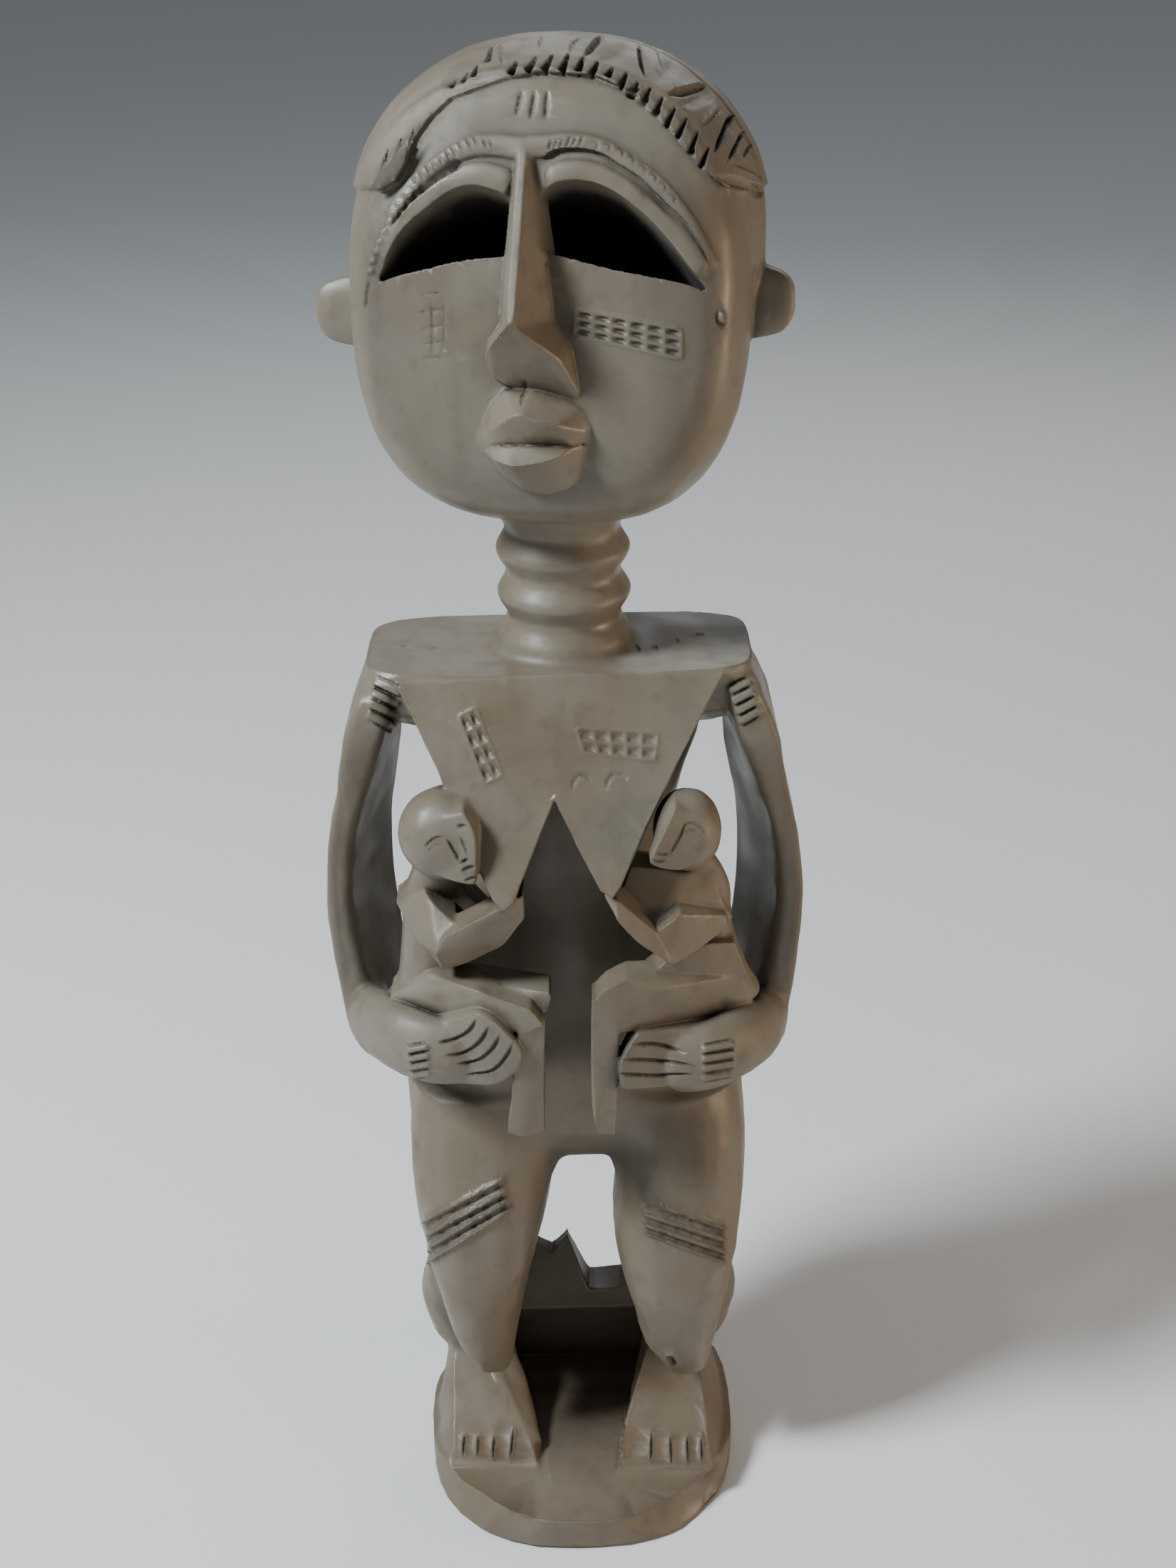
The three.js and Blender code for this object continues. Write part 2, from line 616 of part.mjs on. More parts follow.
// Each infant sits on a forearm with its legs hanging and one hand at the breast.
function infant(side) {
  const shinHalf = side < 0 ? 7 : 5;
  const sunk = [false, false];
  const bars = [
    [[[46, -33, 236, 9, 9], [47, -31, 220, 11, 11], [49, -29, 202, 13, 12]], 6, [true, false]],
    [[[39, -37, 248, 6], [42, -35, 236, 7]], 5, sunk],
    [[[50, -38, 234, 5], [38, -50, 217, 4.8], [27, -55, 229, 3.8], [17, -56, 239, 3.2]], 5, [true, false]],
    [[[50, -34, 203, 10.5, 10], [33, -50, 205, 9, 8.5], [15, -58, 203, 7, 7]], 6, [true, true]],
    [[[44, -24, 202, 8], [13, -50, 208, 7]], 5, [false, true]],
    [[[16, -57, 202, shinHalf, 5.5], [15.5, -57, 182, 0.8 * shinHalf, 4.5], [14.5, -54, 158, 3.8, 3.6]], 5,
      sunk],
    [[[14.5, -52, 159, 4, 3.5], [14, -58, 157, 4.2, 2.8]], 5, [false, true]],
  ];
  const body = bars.map(([rows, sides, rounded]) =>
    form(limb(rows.map((row) => [side * row[0], ...row.slice(1)]), { sides, rounded })));
  return joined([...body, infantHead(side)]);
}

// The heads are eggs with a flat face. The one at -X leans over, the one at +X looks sideways.
function infantHead(side) {
  const pose = side < 0
    ? { x: -35.5, z: 257, lean: 22, turn: 12, size: 1 }
    : { x: 38, z: 257.5, lean: -8, turn: -38, size: 0.9 };
  const place = (geometry) => form(geometry
    .scale(pose.size, pose.size, pose.size)
    .rotateZ(pose.turn * THREE.MathUtils.DEG2RAD)
    .rotateY(-pose.lean * THREE.MathUtils.DEG2RAD)
    .translate(pose.x, -40, pose.z));
  const crown = place(ball([0, 0, 0], [13.2, 13, 16.8], 9));
  const rows = [[-12.8, 0, -2, 8, 11], [-10.5, 0, -1.5, 11.5, 14.5], [0, 0, -1, 12, 15]];
  const face = place(drawer(rows, { sides: 8 }));
  const noseBar = place(limb([[0, -12.4, 5, 1.6, 1.4], [0, -14.6, -4, 2.2, 2]], { sides: 5 }));
  return joined([crown, face, noseBar]);
}

function maternityFigure() {
  const parts = [base(), trunk(), shoulders(), chest(), neck(), head(), web()];
  for (const side of SIDES) {
    parts.push(arm(side), forearm(side), ...fingers(side));
    parts.push(leg(side), band(side), shoulderRibs(side), infant(side));
  }
  return joined(parts);
}

function toMesh(name, solid, finish) {
  const { vertProperties, triVerts } = solid.getMesh();
  const geometry = new THREE.BufferGeometry();
  geometry.setAttribute("position", new THREE.BufferAttribute(vertProperties, 3));
  geometry.setIndex(new THREE.BufferAttribute(triVerts, 1));
  geometry.computeVertexNormals();
  const mesh = new THREE.Mesh(geometry, new THREE.MeshStandardMaterial(finish));
  mesh.name = name;
  return mesh;
}

const group = new THREE.Group();
group.add(toMesh("maternity_figure", maternityFigure(), WOOD));

export default group;
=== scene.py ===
import itertools
import math
from concurrent.futures import ThreadPoolExecutor

import bmesh
import bpy
import numpy as np
import openvdb
from mathutils import Matrix, Vector


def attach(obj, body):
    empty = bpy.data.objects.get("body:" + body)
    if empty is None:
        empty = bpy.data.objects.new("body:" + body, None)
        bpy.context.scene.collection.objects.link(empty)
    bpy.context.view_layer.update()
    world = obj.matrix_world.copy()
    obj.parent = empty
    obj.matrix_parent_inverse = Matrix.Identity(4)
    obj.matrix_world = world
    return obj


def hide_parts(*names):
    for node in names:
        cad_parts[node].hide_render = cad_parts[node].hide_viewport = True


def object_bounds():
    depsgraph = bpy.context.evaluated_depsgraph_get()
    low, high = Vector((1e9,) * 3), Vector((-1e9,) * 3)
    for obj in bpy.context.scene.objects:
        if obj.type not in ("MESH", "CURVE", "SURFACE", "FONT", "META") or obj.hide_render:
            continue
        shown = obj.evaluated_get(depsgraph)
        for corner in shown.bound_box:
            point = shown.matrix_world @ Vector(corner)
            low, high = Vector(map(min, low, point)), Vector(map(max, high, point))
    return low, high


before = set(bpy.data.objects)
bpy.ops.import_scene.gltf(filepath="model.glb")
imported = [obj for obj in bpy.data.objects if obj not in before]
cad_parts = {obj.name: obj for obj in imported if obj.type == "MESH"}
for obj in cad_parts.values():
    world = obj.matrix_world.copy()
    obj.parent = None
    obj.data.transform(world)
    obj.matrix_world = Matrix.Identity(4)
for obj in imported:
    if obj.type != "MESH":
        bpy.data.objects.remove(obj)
cad_low, cad_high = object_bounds()

# The script draws in millimetres, with Z 0 on top of the base. METRES turns them into the frame's metres
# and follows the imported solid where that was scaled.
DRAWN_TOTAL = 498.7
BASE_THICKNESS = 13.0
METRES = (cad_high.z - cad_low.z) / DRAWN_TOTAL

# The grid that the wood is sculpted in: the size of a cell, how far around a form it is changed, the
# distance in empty space, and how many cells are worked on at a time.
CELL = 0.42
KEPT = 8.0
FAR = 9.0
SLAB_CELLS = 300000
WORKERS = 4
WOOD_LOW, WOOD_HIGH = (-84, -74, -15), (84, 66, 492)
SIDES = (-1, 1)


# Ways to join distances
def smooth_union(a, b, blend):
    if blend <= 0:
        return np.minimum(a, b)
    near = np.maximum(blend - np.abs(a - b), 0) / blend
    return np.minimum(a, b) - near * near * (blend / 4)


def smooth_cut(a, b, blend):
    return -smooth_union(-a, b, blend)


def smooth_max(distances, blend):
    result = distances[0]
    for distance in distances[1:]:
        result = -smooth_union(-result, -distance, blend)
    return result


class Wood:
    """A block of wood as a grid of signed distances in millimetres, negative inside the carving."""

    def __init__(self, low, high):
        self.low = np.array(low, np.float32)
        count = np.ceil((np.array(high) - self.low) / CELL).astype(int) + 1
        self.field = np.full(tuple(count), FAR, np.float32)

    def window(self, low, high):
        first = np.floor((np.array(low) - self.low) / CELL).astype(int)
        last = np.ceil((np.array(high) - self.low) / CELL).astype(int) + 1
        first = np.clip(first, 0, self.field.shape)
        last = np.clip(last, first, self.field.shape)
        return first, last

    def shape(self, form, combine, blend):
        """Joins or cuts a form, slab by slab within its own box."""
        low, high, distance = form
        first, last = self.window(np.array(low) - KEPT, np.array(high) + KEPT)
        if np.any(last <= first):
            return
        y = (self.low[1] + CELL * np.arange(first[1], last[1], dtype=np.float32))[None, :, None]
        z = (self.low[2] + CELL * np.arange(first[2], last[2], dtype=np.float32))[None, None, :]
        thick = max(1, SLAB_CELLS // (y.size * z.size))

        def work(start):
            stop = min(start + thick, last[0])
            x = (self.low[0] + CELL * np.arange(start, stop, dtype=np.float32))[:, None, None]
            part = self.field[start:stop, first[1] : last[1], first[2] : last[2]]
            part[...] = combine(part, distance(x, y, z), blend)

        with ThreadPoolExecutor(WORKERS) as workers:
            list(workers.map(work, range(first[0], last[0], thick)))

    def add(self, form, blend=3.0):
        self.shape(form, smooth_union, blend)

    def cut(self, form, blend=1.0):
        self.shape(form, smooth_cut, blend)

    def facing_at(self, points):
        """The way out of the wood at a list of places."""
        points = np.asarray(points, float)
        rise = [
            self.depth_at(points + CELL * np.eye(3)[axis]) - self.depth_at(points - CELL * np.eye(3)[axis])
            for axis in range(3)
        ]
        facing = np.column_stack(rise)
        return facing / (np.linalg.norm(facing, axis=1, keepdims=True) + 1e-9)

    def depth_at(self, points):
        """The distances at a list of places, between the grid's cells."""
        place = (np.asarray(points, np.float32) - self.low) / CELL
        place = np.clip(place, 0, np.array(self.field.shape) - 1.001)
        corner = place.astype(int)
        share = place - corner
        total = np.zeros(len(place), np.float32)
        for step in np.ndindex(2, 2, 2):
            weight = np.prod(np.where(step, share, 1 - share), axis=1)
            at = corner + step
            total += weight * self.field[at[:, 0], at[:, 1], at[:, 2]]
        return total


# Smooth runs through listed numbers
def eased(stations, values, wanted):
    """A smooth run through values that never overshoots them."""
    stations = np.asarray(stations, float)
    values = np.asarray(values, float)
    step = np.diff(stations)
    slope = np.diff(values) / step
    bend = np.zeros(len(values))
    same = slope[:-1] * slope[1:] > 0
    first, second = 2 * step[1:] + step[:-1], step[1:] + 2 * step[:-1]
    safe = np.where(same, slope[:-1] * slope[1:], 1)
    mean = (first + second) * safe / (first * slope[1:] + second * slope[:-1] + np.where(same, 0, 1e9))
    bend[1:-1] = np.where(same, mean, 0)
    bend[0], bend[-1] = slope[0], slope[-1]
    wanted = np.clip(wanted, stations[0], stations[-1])
    at = np.clip(np.searchsorted(stations, wanted, side="right") - 1, 0, len(step) - 1)
    t = (wanted - stations[at]) / step[at]
    low, high = values[at], values[at + 1]
    return (
        (1 + 2 * t) * (1 - t) ** 2 * low
        + t * (1 - t) ** 2 * step[at] * bend[at]
        + t * t * (3 - 2 * t) * high
        + t * t * (t - 1) * step[at] * bend[at + 1]
    )


def rounded_path(rows, between=4):
    """Rows of numbers with more rows between them, on a smooth path through all."""
    rows = np.asarray(rows, float)
    padded = np.vstack([2 * rows[0] - rows[1], rows, 2 * rows[-1] - rows[-2]])
    made = []
    for at in range(1, len(padded) - 2):
        a, b, c, d = padded[at - 1 : at + 3]
        for t in np.arange(between) / between:
            second, third = 2 * a - 5 * b + 4 * c - d, 3 * b - a - 3 * c + d
            made.append(0.5 * (2 * b + (c - a) * t + second * t**2 + third * t**3))
    made.append(rows[-1])
    return np.array(made)


FINE_STEPS = 200


class Profile:
    """Numbers that change smoothly along one direction, read off for any array of places."""

    def __init__(self, rows):
        rows = np.array(sorted(rows), float)
        self.low, self.high = rows[0, 0], rows[-1, 0]
        self.stations = np.linspace(self.low, self.high, FINE_STEPS)
        self.values = [eased(rows[:, 0], column, self.stations) for column in rows[:, 1:].T]
        self.largest = [column.max() for column in self.values]
        self.smallest = [column.min() for column in self.values]

    def at(self, place, which):
        return np.interp(place, self.stations, self.values[which]).astype(np.float32)

    def slope(self, which):
        """How much longer than its run a sloping side is: the factor that makes true distances."""
        steep = np.gradient(self.values[which], self.stations)
        return np.sqrt(1 + steep**2)


# Forms: each is a lowest corner, a highest corner and a function that gives distances
NEVER_ZERO = 0.02
LIMB_BLEND = 0.25
SAME_FACET = 0.05


def oval_distance(across, along, half_width, half_depth, power):
    across, along = np.abs(across), np.abs(along)
    reach = np.sqrt(across**2 + along**2)
    if power == 2:
        filled = np.sqrt((across / half_width) ** 2 + (along / half_depth) ** 2)
    else:
        filled = ((across / half_width) ** power + (along / half_depth) ** power) ** (1 / power)
    return reach - reach / np.maximum(filled, NEVER_ZERO)


def column(rows, power=2.2, facing_front=False, cap=2.0):
    """Oval sections along Z, given as [z, x, y, half width, half depth].
    Facing the front, they lie along Y and are given as [y, x, z, half width, half height]."""
    profile = Profile(rows)
    steep = np.maximum(profile.slope(2), profile.slope(3))
    reach = max(profile.largest[2], profile.largest[3])
    x_range = (profile.smallest[0] - reach, profile.largest[0] + reach)
    other_range = (profile.smallest[1] - reach, profile.largest[1] + reach)
    own_range = (profile.low, profile.high)
    ranges = (x_range, own_range, other_range) if facing_front else (x_range, other_range, own_range)

    def distance(x, y, z):
        place, other = (y, z) if facing_front else (z, y)
        middle_x, middle_other, half_width, half_depth = (profile.at(place, which) for which in range(4))
        sides = oval_distance(x - middle_x, other - middle_other, half_width, half_depth, power)
        sides = sides / np.interp(place, profile.stations, steep).astype(np.float32)
        ends = np.maximum(profile.low - place, place - profile.high)
        return smooth_max([sides, ends + 0 * sides], cap)

    return [r[0] for r in ranges], [r[1] for r in ranges], distance


def limb(rows, between=4):
    """A bar with rounded ends along a smooth path. A row is [x, y, z, half thickness, half height]."""
    rows = [row if len(row) == 5 else [*row, row[3]] for row in rows]
    path = rounded_path(rows, between)
    thickest = path[:, 3:].max()

    def distance(x, y, z):
        nearest = None
        for start, end in zip(path[:-1], path[1:]):
            bar = end[:3] - start[:3]
            length = np.linalg.norm(bar)
            ahead = bar / length
            across = np.cross(ahead, [0, 0, 1])
            across /= np.linalg.norm(across) + 1e-9
            upward = np.cross(across, ahead)
            off = (x - start[0], y - start[1], z - start[2])
            run = off[0] * ahead[0] + off[1] * ahead[1] + off[2] * ahead[2]
            share = np.clip(run / length, 0, 1)
            thick = start[3] + share * (end[3] - start[3])
            tall = start[4] + share * (end[4] - start[4])
            beyond = run - share * length
            side = off[0] * across[0] + off[1] * across[1] + off[2] * across[2]
            rise = off[0] * upward[0] + off[1] * upward[1] + off[2] * upward[2]
            reach = np.sqrt(side**2 + rise**2 + beyond**2)
            thin = np.minimum(thick, tall)
            filled = np.sqrt((side / thick) ** 2 + (rise / tall) ** 2 + (beyond / thin) ** 2)
            gap = reach - reach / np.maximum(filled, NEVER_ZERO)
            nearest = gap if nearest is None else smooth_union(nearest, gap, LIMB_BLEND * thickest)
        return nearest.astype(np.float32)

    return path[:, :3].min(0) - thickest, path[:, :3].max(0) + thickest, distance


def ball(centre, radii):
    centre, radii = np.array(centre, float), np.array(radii, float)

    def distance(x, y, z):
        off = (x - centre[0], y - centre[1], z - centre[2])
        reach = np.sqrt(off[0] ** 2 + off[1] ** 2 + off[2] ** 2)
        filled = np.sqrt((off[0] / radii[0]) ** 2 + (off[1] / radii[1]) ** 2 + (off[2] / radii[2]) ** 2)
        return reach - reach / np.maximum(filled, NEVER_ZERO)

    return centre - radii, centre + radii, distance


def outline_distance(across, up, outline):
    """Distance to a closed outline in a plane, negative inside."""
    nearest, inside = None, None
    points = np.asarray(outline, float)
    for start, end in zip(points, np.roll(points, -1, axis=0)):
        edge = end - start
        share = np.clip(((across - start[0]) * edge[0] + (up - start[1]) * edge[1]) / (edge @ edge), 0, 1)
        gap = (across - start[0] - share * edge[0]) ** 2 + (up - start[1] - share * edge[1]) ** 2
        nearest = gap if nearest is None else np.minimum(nearest, gap)
        crosses = (start[1] > up) != (end[1] > up)
        rise = edge[1] if abs(edge[1]) > 1e-9 else 1e-9
        left = across < edge[0] * (up - start[1]) / rise + start[0]
        flip = crosses & left
        inside = flip if inside is None else inside ^ flip
    return (np.sqrt(nearest) * np.where(inside, -1, 1)).astype(np.float32)


def slab(outline, front, back, lean=(0, 0), rounded=2.0, ridge=(0, 0, 1)):
    """An outline in X and Z with a front and a back. The front leans by lean[0] of Y for each Z, and the
    outline climbs by lean[1] of Z for each Y. The front can be folded ahead along a ridge."""
    points = np.asarray(outline, float)
    foot, top = points[:, 1].min(), points[:, 1].max()
    climb = abs(lean[1]) * (back - front)
    leant = sorted((lean[0] * foot, lean[0] * top))
    low = [points[:, 0].min(), front - ridge[1] + leant[0], foot - climb]
    high = [points[:, 0].max(), back + leant[1], top + climb]

    def distance(x, y, z):
        level = z - lean[1] * (y - back)
        sides = outline_distance(x + 0 * level, level + 0 * x, outline)
        fold = ridge[1] * np.clip(1 - np.abs(x - ridge[0]) / ridge[2], 0, 1)
        forward = (front + lean[0] * z - fold - y) / math.hypot(1, lean[0])
        backward = (y - back - lean[0] * z) / math.hypot(1, lean[0])
        return smooth_max([sides, forward + 0 * sides, backward + 0 * sides], rounded)

    return low, high, distance


def block(corners, rounded=0.5):
    """A solid with flat facets between the outermost of the given corners."""
    corners = np.asarray(corners, float)
    hull = bmesh.new()
    for corner in corners:
        hull.verts.new(corner)
    bmesh.ops.convex_hull(hull, input=hull.verts)
    hull.normal_update()
    middle = corners.mean(0)
    planes = []
    for face in hull.faces:
        facing = np.array(face.normal)
        level = facing @ np.array(face.verts[0].co)
        if facing @ middle > level:
            facing, level = -facing, -level
        plane = np.array([*facing, level])
        if all(np.abs(plane[:3] - other[:3]).max() > SAME_FACET for other in planes):
            planes.append(plane)
    hull.free()

    def distance(x, y, z):
        gaps = [(a * x + b * y + c * z - level).astype(np.float32) for a, b, c, level in planes]
        return smooth_max(gaps, rounded)

    return corners.min(0), corners.max(0), distance


def turned(form, spin, origin):
    """A form drawn in a frame of its own, which is turned by a matrix and moved to origin."""
    low, high, distance = form
    spin, origin = np.array(spin, float), np.array(origin, float)
    corners = np.array(list(itertools.product(*zip(low, high))))
    placed = corners @ spin.T + origin

    def moved(x, y, z):
        off = (x - origin[0], y - origin[1], z - origin[2])
        own = [off[0] * spin[0, at] + off[1] * spin[1, at] + off[2] * spin[2, at] for at in range(3)]
        return distance(*(along_axis.astype(np.float32) for along_axis in own))

    return placed.min(0), placed.max(0), moved


def spin_of(turn, tilt):
    """A rotation in degrees: tilt about X, then turn about Z."""
    turned_by = Matrix.Rotation(math.radians(turn), 3, "Z")
    tilted_by = Matrix.Rotation(math.radians(tilt), 3, "X")
    return np.array(turned_by @ tilted_by)


wood = Wood(WOOD_LOW, WOOD_HIGH)


# The photograph is 1650 by 2200 pixels, taken from close in front and above. The camera's place is in
# millimetres above the floor.
PHOTO_LONG_SIDE = 2200
PHOTO_MIDDLE = (825, 1100)
FOCAL_PIXELS = 3000
CAMERA_PLACE = np.array([8.2, -624.0, 572.0])
CAMERA_PITCH = math.radians(26)
CAMERA_ROLL = math.radians(1.2)
SENSOR = 36.0


def camera_axes():
    right = np.array([1.0, 0, 0])
    upward = np.array([0, math.sin(CAMERA_PITCH), math.cos(CAMERA_PITCH)])
    forward = np.array([0, math.cos(CAMERA_PITCH), -math.sin(CAMERA_PITCH)])
    cosine, sine = math.cos(CAMERA_ROLL), math.sin(CAMERA_ROLL)
    return cosine * right - sine * upward, sine * right + cosine * upward, forward


# Carved lines are given by the photograph's pixels that they cross, and lie on the wood seen there. The
# wood is looked for between two distances from the camera, in steps.
NEAREST, FARTHEST, MARCH = 480.0, 900.0, 0.8


def rays_through(pixels):
    """Where the camera stands in the drawing, and the way it looks through each pixel."""
    pixels = np.asarray(pixels, float)
    right, upward, forward = camera_axes()
    across = (pixels[:, 0] - PHOTO_MIDDLE[0]) / FOCAL_PIXELS
    down = (pixels[:, 1] - PHOTO_MIDDLE[1]) / FOCAL_PIXELS
    rays = forward + across[:, None] * right - down[:, None] * upward
    return CAMERA_PLACE - [0, 0, BASE_THICKNESS], rays


def spot(pixel_x, pixel_y, y):
    """The place at a depth Y that a pixel of the photograph shows."""
    start, rays = rays_through([(pixel_x, pixel_y)])
    return start + (y - start[1]) / rays[0, 1] * rays[0]


def seen_block(front, thickness, rounded=0.6):
    """A faceted block. Its front corners are pixels with a depth, and its back lies a thickness behind."""
    corners = [spot(*corner) for corner in front]
    corners += [spot(*corner) + [0, thickness, 0] for corner in front]
    return block(corners, rounded)


def on_wood(pixels):
    """The places on the wood that the photograph's pixels show, and which pixels show wood."""
    start, rays = rays_through(pixels)
    reach = np.arange(NEAREST, FARTHEST, MARCH)
    places = start + reach[None, :, None] * rays[:, None, :]
    depths = wood.depth_at(places.reshape(-1, 3)).reshape(len(pixels), -1)
    inside = depths < 0
    first = np.maximum(inside.argmax(axis=1), 1)
    rows = np.arange(len(pixels))
    before, after = depths[rows, first - 1], depths[rows, first]
    share = before / np.maximum(before - after, 1e-6)
    hit = reach[first - 1] + share * MARCH
    return start + hit[:, None] * rays, inside.any(axis=1)


def along(pixels, step=5.0, smooth=True):
    """Pixels along a line through the given ones."""
    pixels = np.asarray(pixels, float)
    if smooth and len(pixels) > 2:
        pixels = rounded_path(pixels, 6)
    lengths = np.linalg.norm(np.diff(pixels, axis=0), axis=1)
    run = np.concatenate([[0], np.cumsum(lengths)])
    count = max(4, int(run[-1] / step) + 1)
    wanted = np.linspace(0, run[-1], count)
    return np.column_stack([np.interp(wanted, run, pixels[:, axis]) for axis in range(2)])


# Strokes that are laid out and not carved yet
waiting = []
# A stroke keeps this share of its size at its very ends, and fills out with this power
LEAST_END = 0.12
END_POWER = 0.6
# Above the wood, a cut opens this far straight up before it closes
CUT_RISE = 3
BEAD_BLEND = 0.5
CUT_BLEND = 0.25


def stroke(pixels, left, right, depth, grow=(1, 1), taper=0.2, raised=False, smooth=True):
    """A chisel cut along pixels, with a width to either side and a depth in millimetres, or a raised bead.
    The width and depth grow along it from grow[0] to grow[1], and run out over a share of its ends."""
    places, found = on_wood(along(pixels, smooth=smooth))
    places = places[found]
    if len(places) < 2:
        return
    facing = wood.facing_at(places)
    lengths = np.linalg.norm(np.diff(places, axis=0), axis=1)
    run = np.concatenate([[0], np.cumsum(lengths)]) / max(lengths.sum(), 1e-6)
    scale = grow[0] + (grow[1] - grow[0]) * run
    if taper > 0:
        scale = scale * np.clip(np.minimum(run, 1 - run) / taper, LEAST_END, 1) ** END_POWER
    widest = max(left, right, depth)

    def distance(x, y, z):
        nearest = None
        for at in range(len(places) - 1):
            bar = places[at + 1] - places[at]
            length = np.linalg.norm(bar)
            if length < 1e-3:
                continue
            ahead = bar / length
            out = facing[at] + facing[at + 1]
            out = out - (out @ ahead) * ahead
            out = out / (np.linalg.norm(out) + 1e-9)
            side = np.cross(ahead, out)
            off = (x - places[at][0], y - places[at][1], z - places[at][2])
            ran = off[0] * ahead[0] + off[1] * ahead[1] + off[2] * ahead[2]
            share = np.clip(ran / length, 0, 1)
            size = scale[at] + share * (scale[at + 1] - scale[at])
            beyond = ran - share * length
            across = off[0] * side[0] + off[1] * side[1] + off[2] * side[2]
            rise = off[0] * out[0] + off[1] * out[1] + off[2] * out[2]
            wide = np.where(across > 0, across / right, -across / left)
            if raised:
                filled = np.sqrt(wide**2 + (rise / depth) ** 2 + (beyond / depth) ** 2)
            else:
                sunk = np.maximum(-rise, 0) / depth + np.maximum(rise - CUT_RISE, 0)
                filled = np.sqrt(wide**2 + (beyond / min(left, right)) ** 2) + sunk
            gap = (filled - size) * min(left, right, depth)
            nearest = gap if nearest is None else np.minimum(nearest, gap)
        return nearest.astype(np.float32)

    # Wood.shape goes KEPT beyond the box, which is more than a stroke needs
    pad = widest + 2.0
    form = (places.min(0) - pad + KEPT, places.max(0) + pad - KEPT, distance)
    waiting.append((form, smooth_union, BEAD_BLEND) if raised else (form, smooth_cut, CUT_BLEND))


def carve():
    """Carves the strokes laid out so far, which were all placed on the wood as it was before them."""
    for form, combine, blend in waiting:
        wood.shape(form, combine, blend)
    waiting.clear()


def groove(pixels, width, depth, **options):
    stroke(pixels, width / 2, width / 2, depth, **options)


def bead(pixels, width, height, **options):
    stroke(pixels, width / 2, width / 2, height, raised=True, **options)


# Base: its middle, its half width and half depth, and how far its corners stand out of an ellipse
BASE_MIDDLE = (1.0, -4.5)
BASE_HALF = (56.5, 62.2)
BASE_SQUARENESS = 1.5
BASE_BOX = ((-60, -68, -15), (62, 60, -1))
# Knife cuts round the base: where (0 is the front), how far in at the top, and how they tilt
BASE_CHIPS = [
    (-1.35, 0.8, 0.5), (-1.0, 1.8, 0.35), (-0.72, 2.9, 0.5), (-0.45, 2.2, 0.35), (-0.2, 2.2, 0.55),
    (0.05, 1.4, 0.3), (0.3, 2.4, 0.5), (0.55, 3.2, 0.4), (0.85, 2.6, 0.3), (1.2, 1.0, 0.55),
    (1.7, 1.4, 0.3), (2.3, 2.6, 0.5), (2.9, 1.6, 0.4), (-2.6, 2.4, 0.45), (-1.9, 2.2, 0.35),
]


def half_space(facing, place):
    """Everything beyond a plane, near the base."""
    level = facing @ place

    def distance(x, y, z):
        return (level - (facing[0] * x + facing[1] * y + facing[2] * z)).astype(np.float32)

    return *BASE_BOX, distance


def base():
    rows = [
        [-BASE_THICKNESS, *BASE_MIDDLE, BASE_HALF[0] - 1.5, BASE_HALF[1] - 1.5],
        [-BASE_THICKNESS + 1.5, *BASE_MIDDLE, BASE_HALF[0] - 0.3, BASE_HALF[1] - 0.3],
        [-5, *BASE_MIDDLE, BASE_HALF[0], BASE_HALF[1]],
        [0, *BASE_MIDDLE, BASE_HALF[0] - 0.6, BASE_HALF[1] - 0.8],
    ]
    wood.add(column(rows, power=2.5, cap=2.0), 0)
    for angle, inset, tilt in BASE_CHIPS:
        outward = np.array([math.sin(angle), -math.cos(angle), 0])
        facing = math.cos(tilt) * outward + [0, 0, math.sin(tilt)]
        reach = np.hypot(BASE_HALF[0] * math.sin(angle), BASE_HALF[1] * math.cos(angle)) + BASE_SQUARENESS
        place = np.array([*BASE_MIDDLE, 0]) + (reach - inset) * outward
        wood.cut(half_space(facing, place), 0.5)


# Trunk: the chest plate's front is this far ahead at the top, and steps back by its lean for each Z
SHOULDER_TOP = 305.0
CHEST_TOP_FRONT = -25.5
CHEST_LEAN = 0.46
CHEST_THICKNESS = 34
# The chest plate's two planes meet in a low ridge: where, how far ahead and over what half width
CHEST_RIDGE = (-1.0, 3.5, 46.0)
CHEST_OUTLINE = [
    (-50.5, 303.5), (0, 306), (50.5, 303.5), (37, 281), (26, 262), (18, 246), (15, 242.5), (11, 245),
    (4, 258), (-2, 270.5), (-9, 255), (-15, 242), (-18, 239.5), (-22, 243), (-29, 259), (-38, 279),
]


def trunk():
    wood.add(column([
        [116, 3, 4, 24, 16],
        [127, 2, 3, 44, 26],
        [142, 0, 3, 55, 32],
        [162, 0, 5, 54, 34],
        [182, 0, 3, 47, 28],
        [210, 0, 0, 37, 23],
        [240, 0, 0, 36, 22],
        [275, 0, -1, 44, 24],
        [302, 0, 0, 52, 25],
    ], cap=4), 0)
    for side in SIDES:
        wood.add(ball((side * 25, 17, 143), (26, 23, 27)), 7)
    wood.add(column([
        [SHOULDER_TOP - 22, 0, 0, 52, 19],
        [SHOULDER_TOP - 14, 0, 0, 60, 25],
        [SHOULDER_TOP - 4, 0, 0, 61, 26.5],
        [SHOULDER_TOP, 0, 0, 60.5, 26],
    ], power=5, cap=2.5), 4)
    front = CHEST_TOP_FRONT - CHEST_LEAN * SHOULDER_TOP
    wood.add(slab(CHEST_OUTLINE, front, front + CHEST_THICKNESS, (CHEST_LEAN, 0), 1.4, CHEST_RIDGE), 1.0)


# Neck: rings and the necks between them, on a wider foot
NECK_RINGS = 5
NECK_PITCH = 14.0
RING_RADIUS = 21.1
GAP_RADIUS = 18.2
FOOT_RADIUS = 22


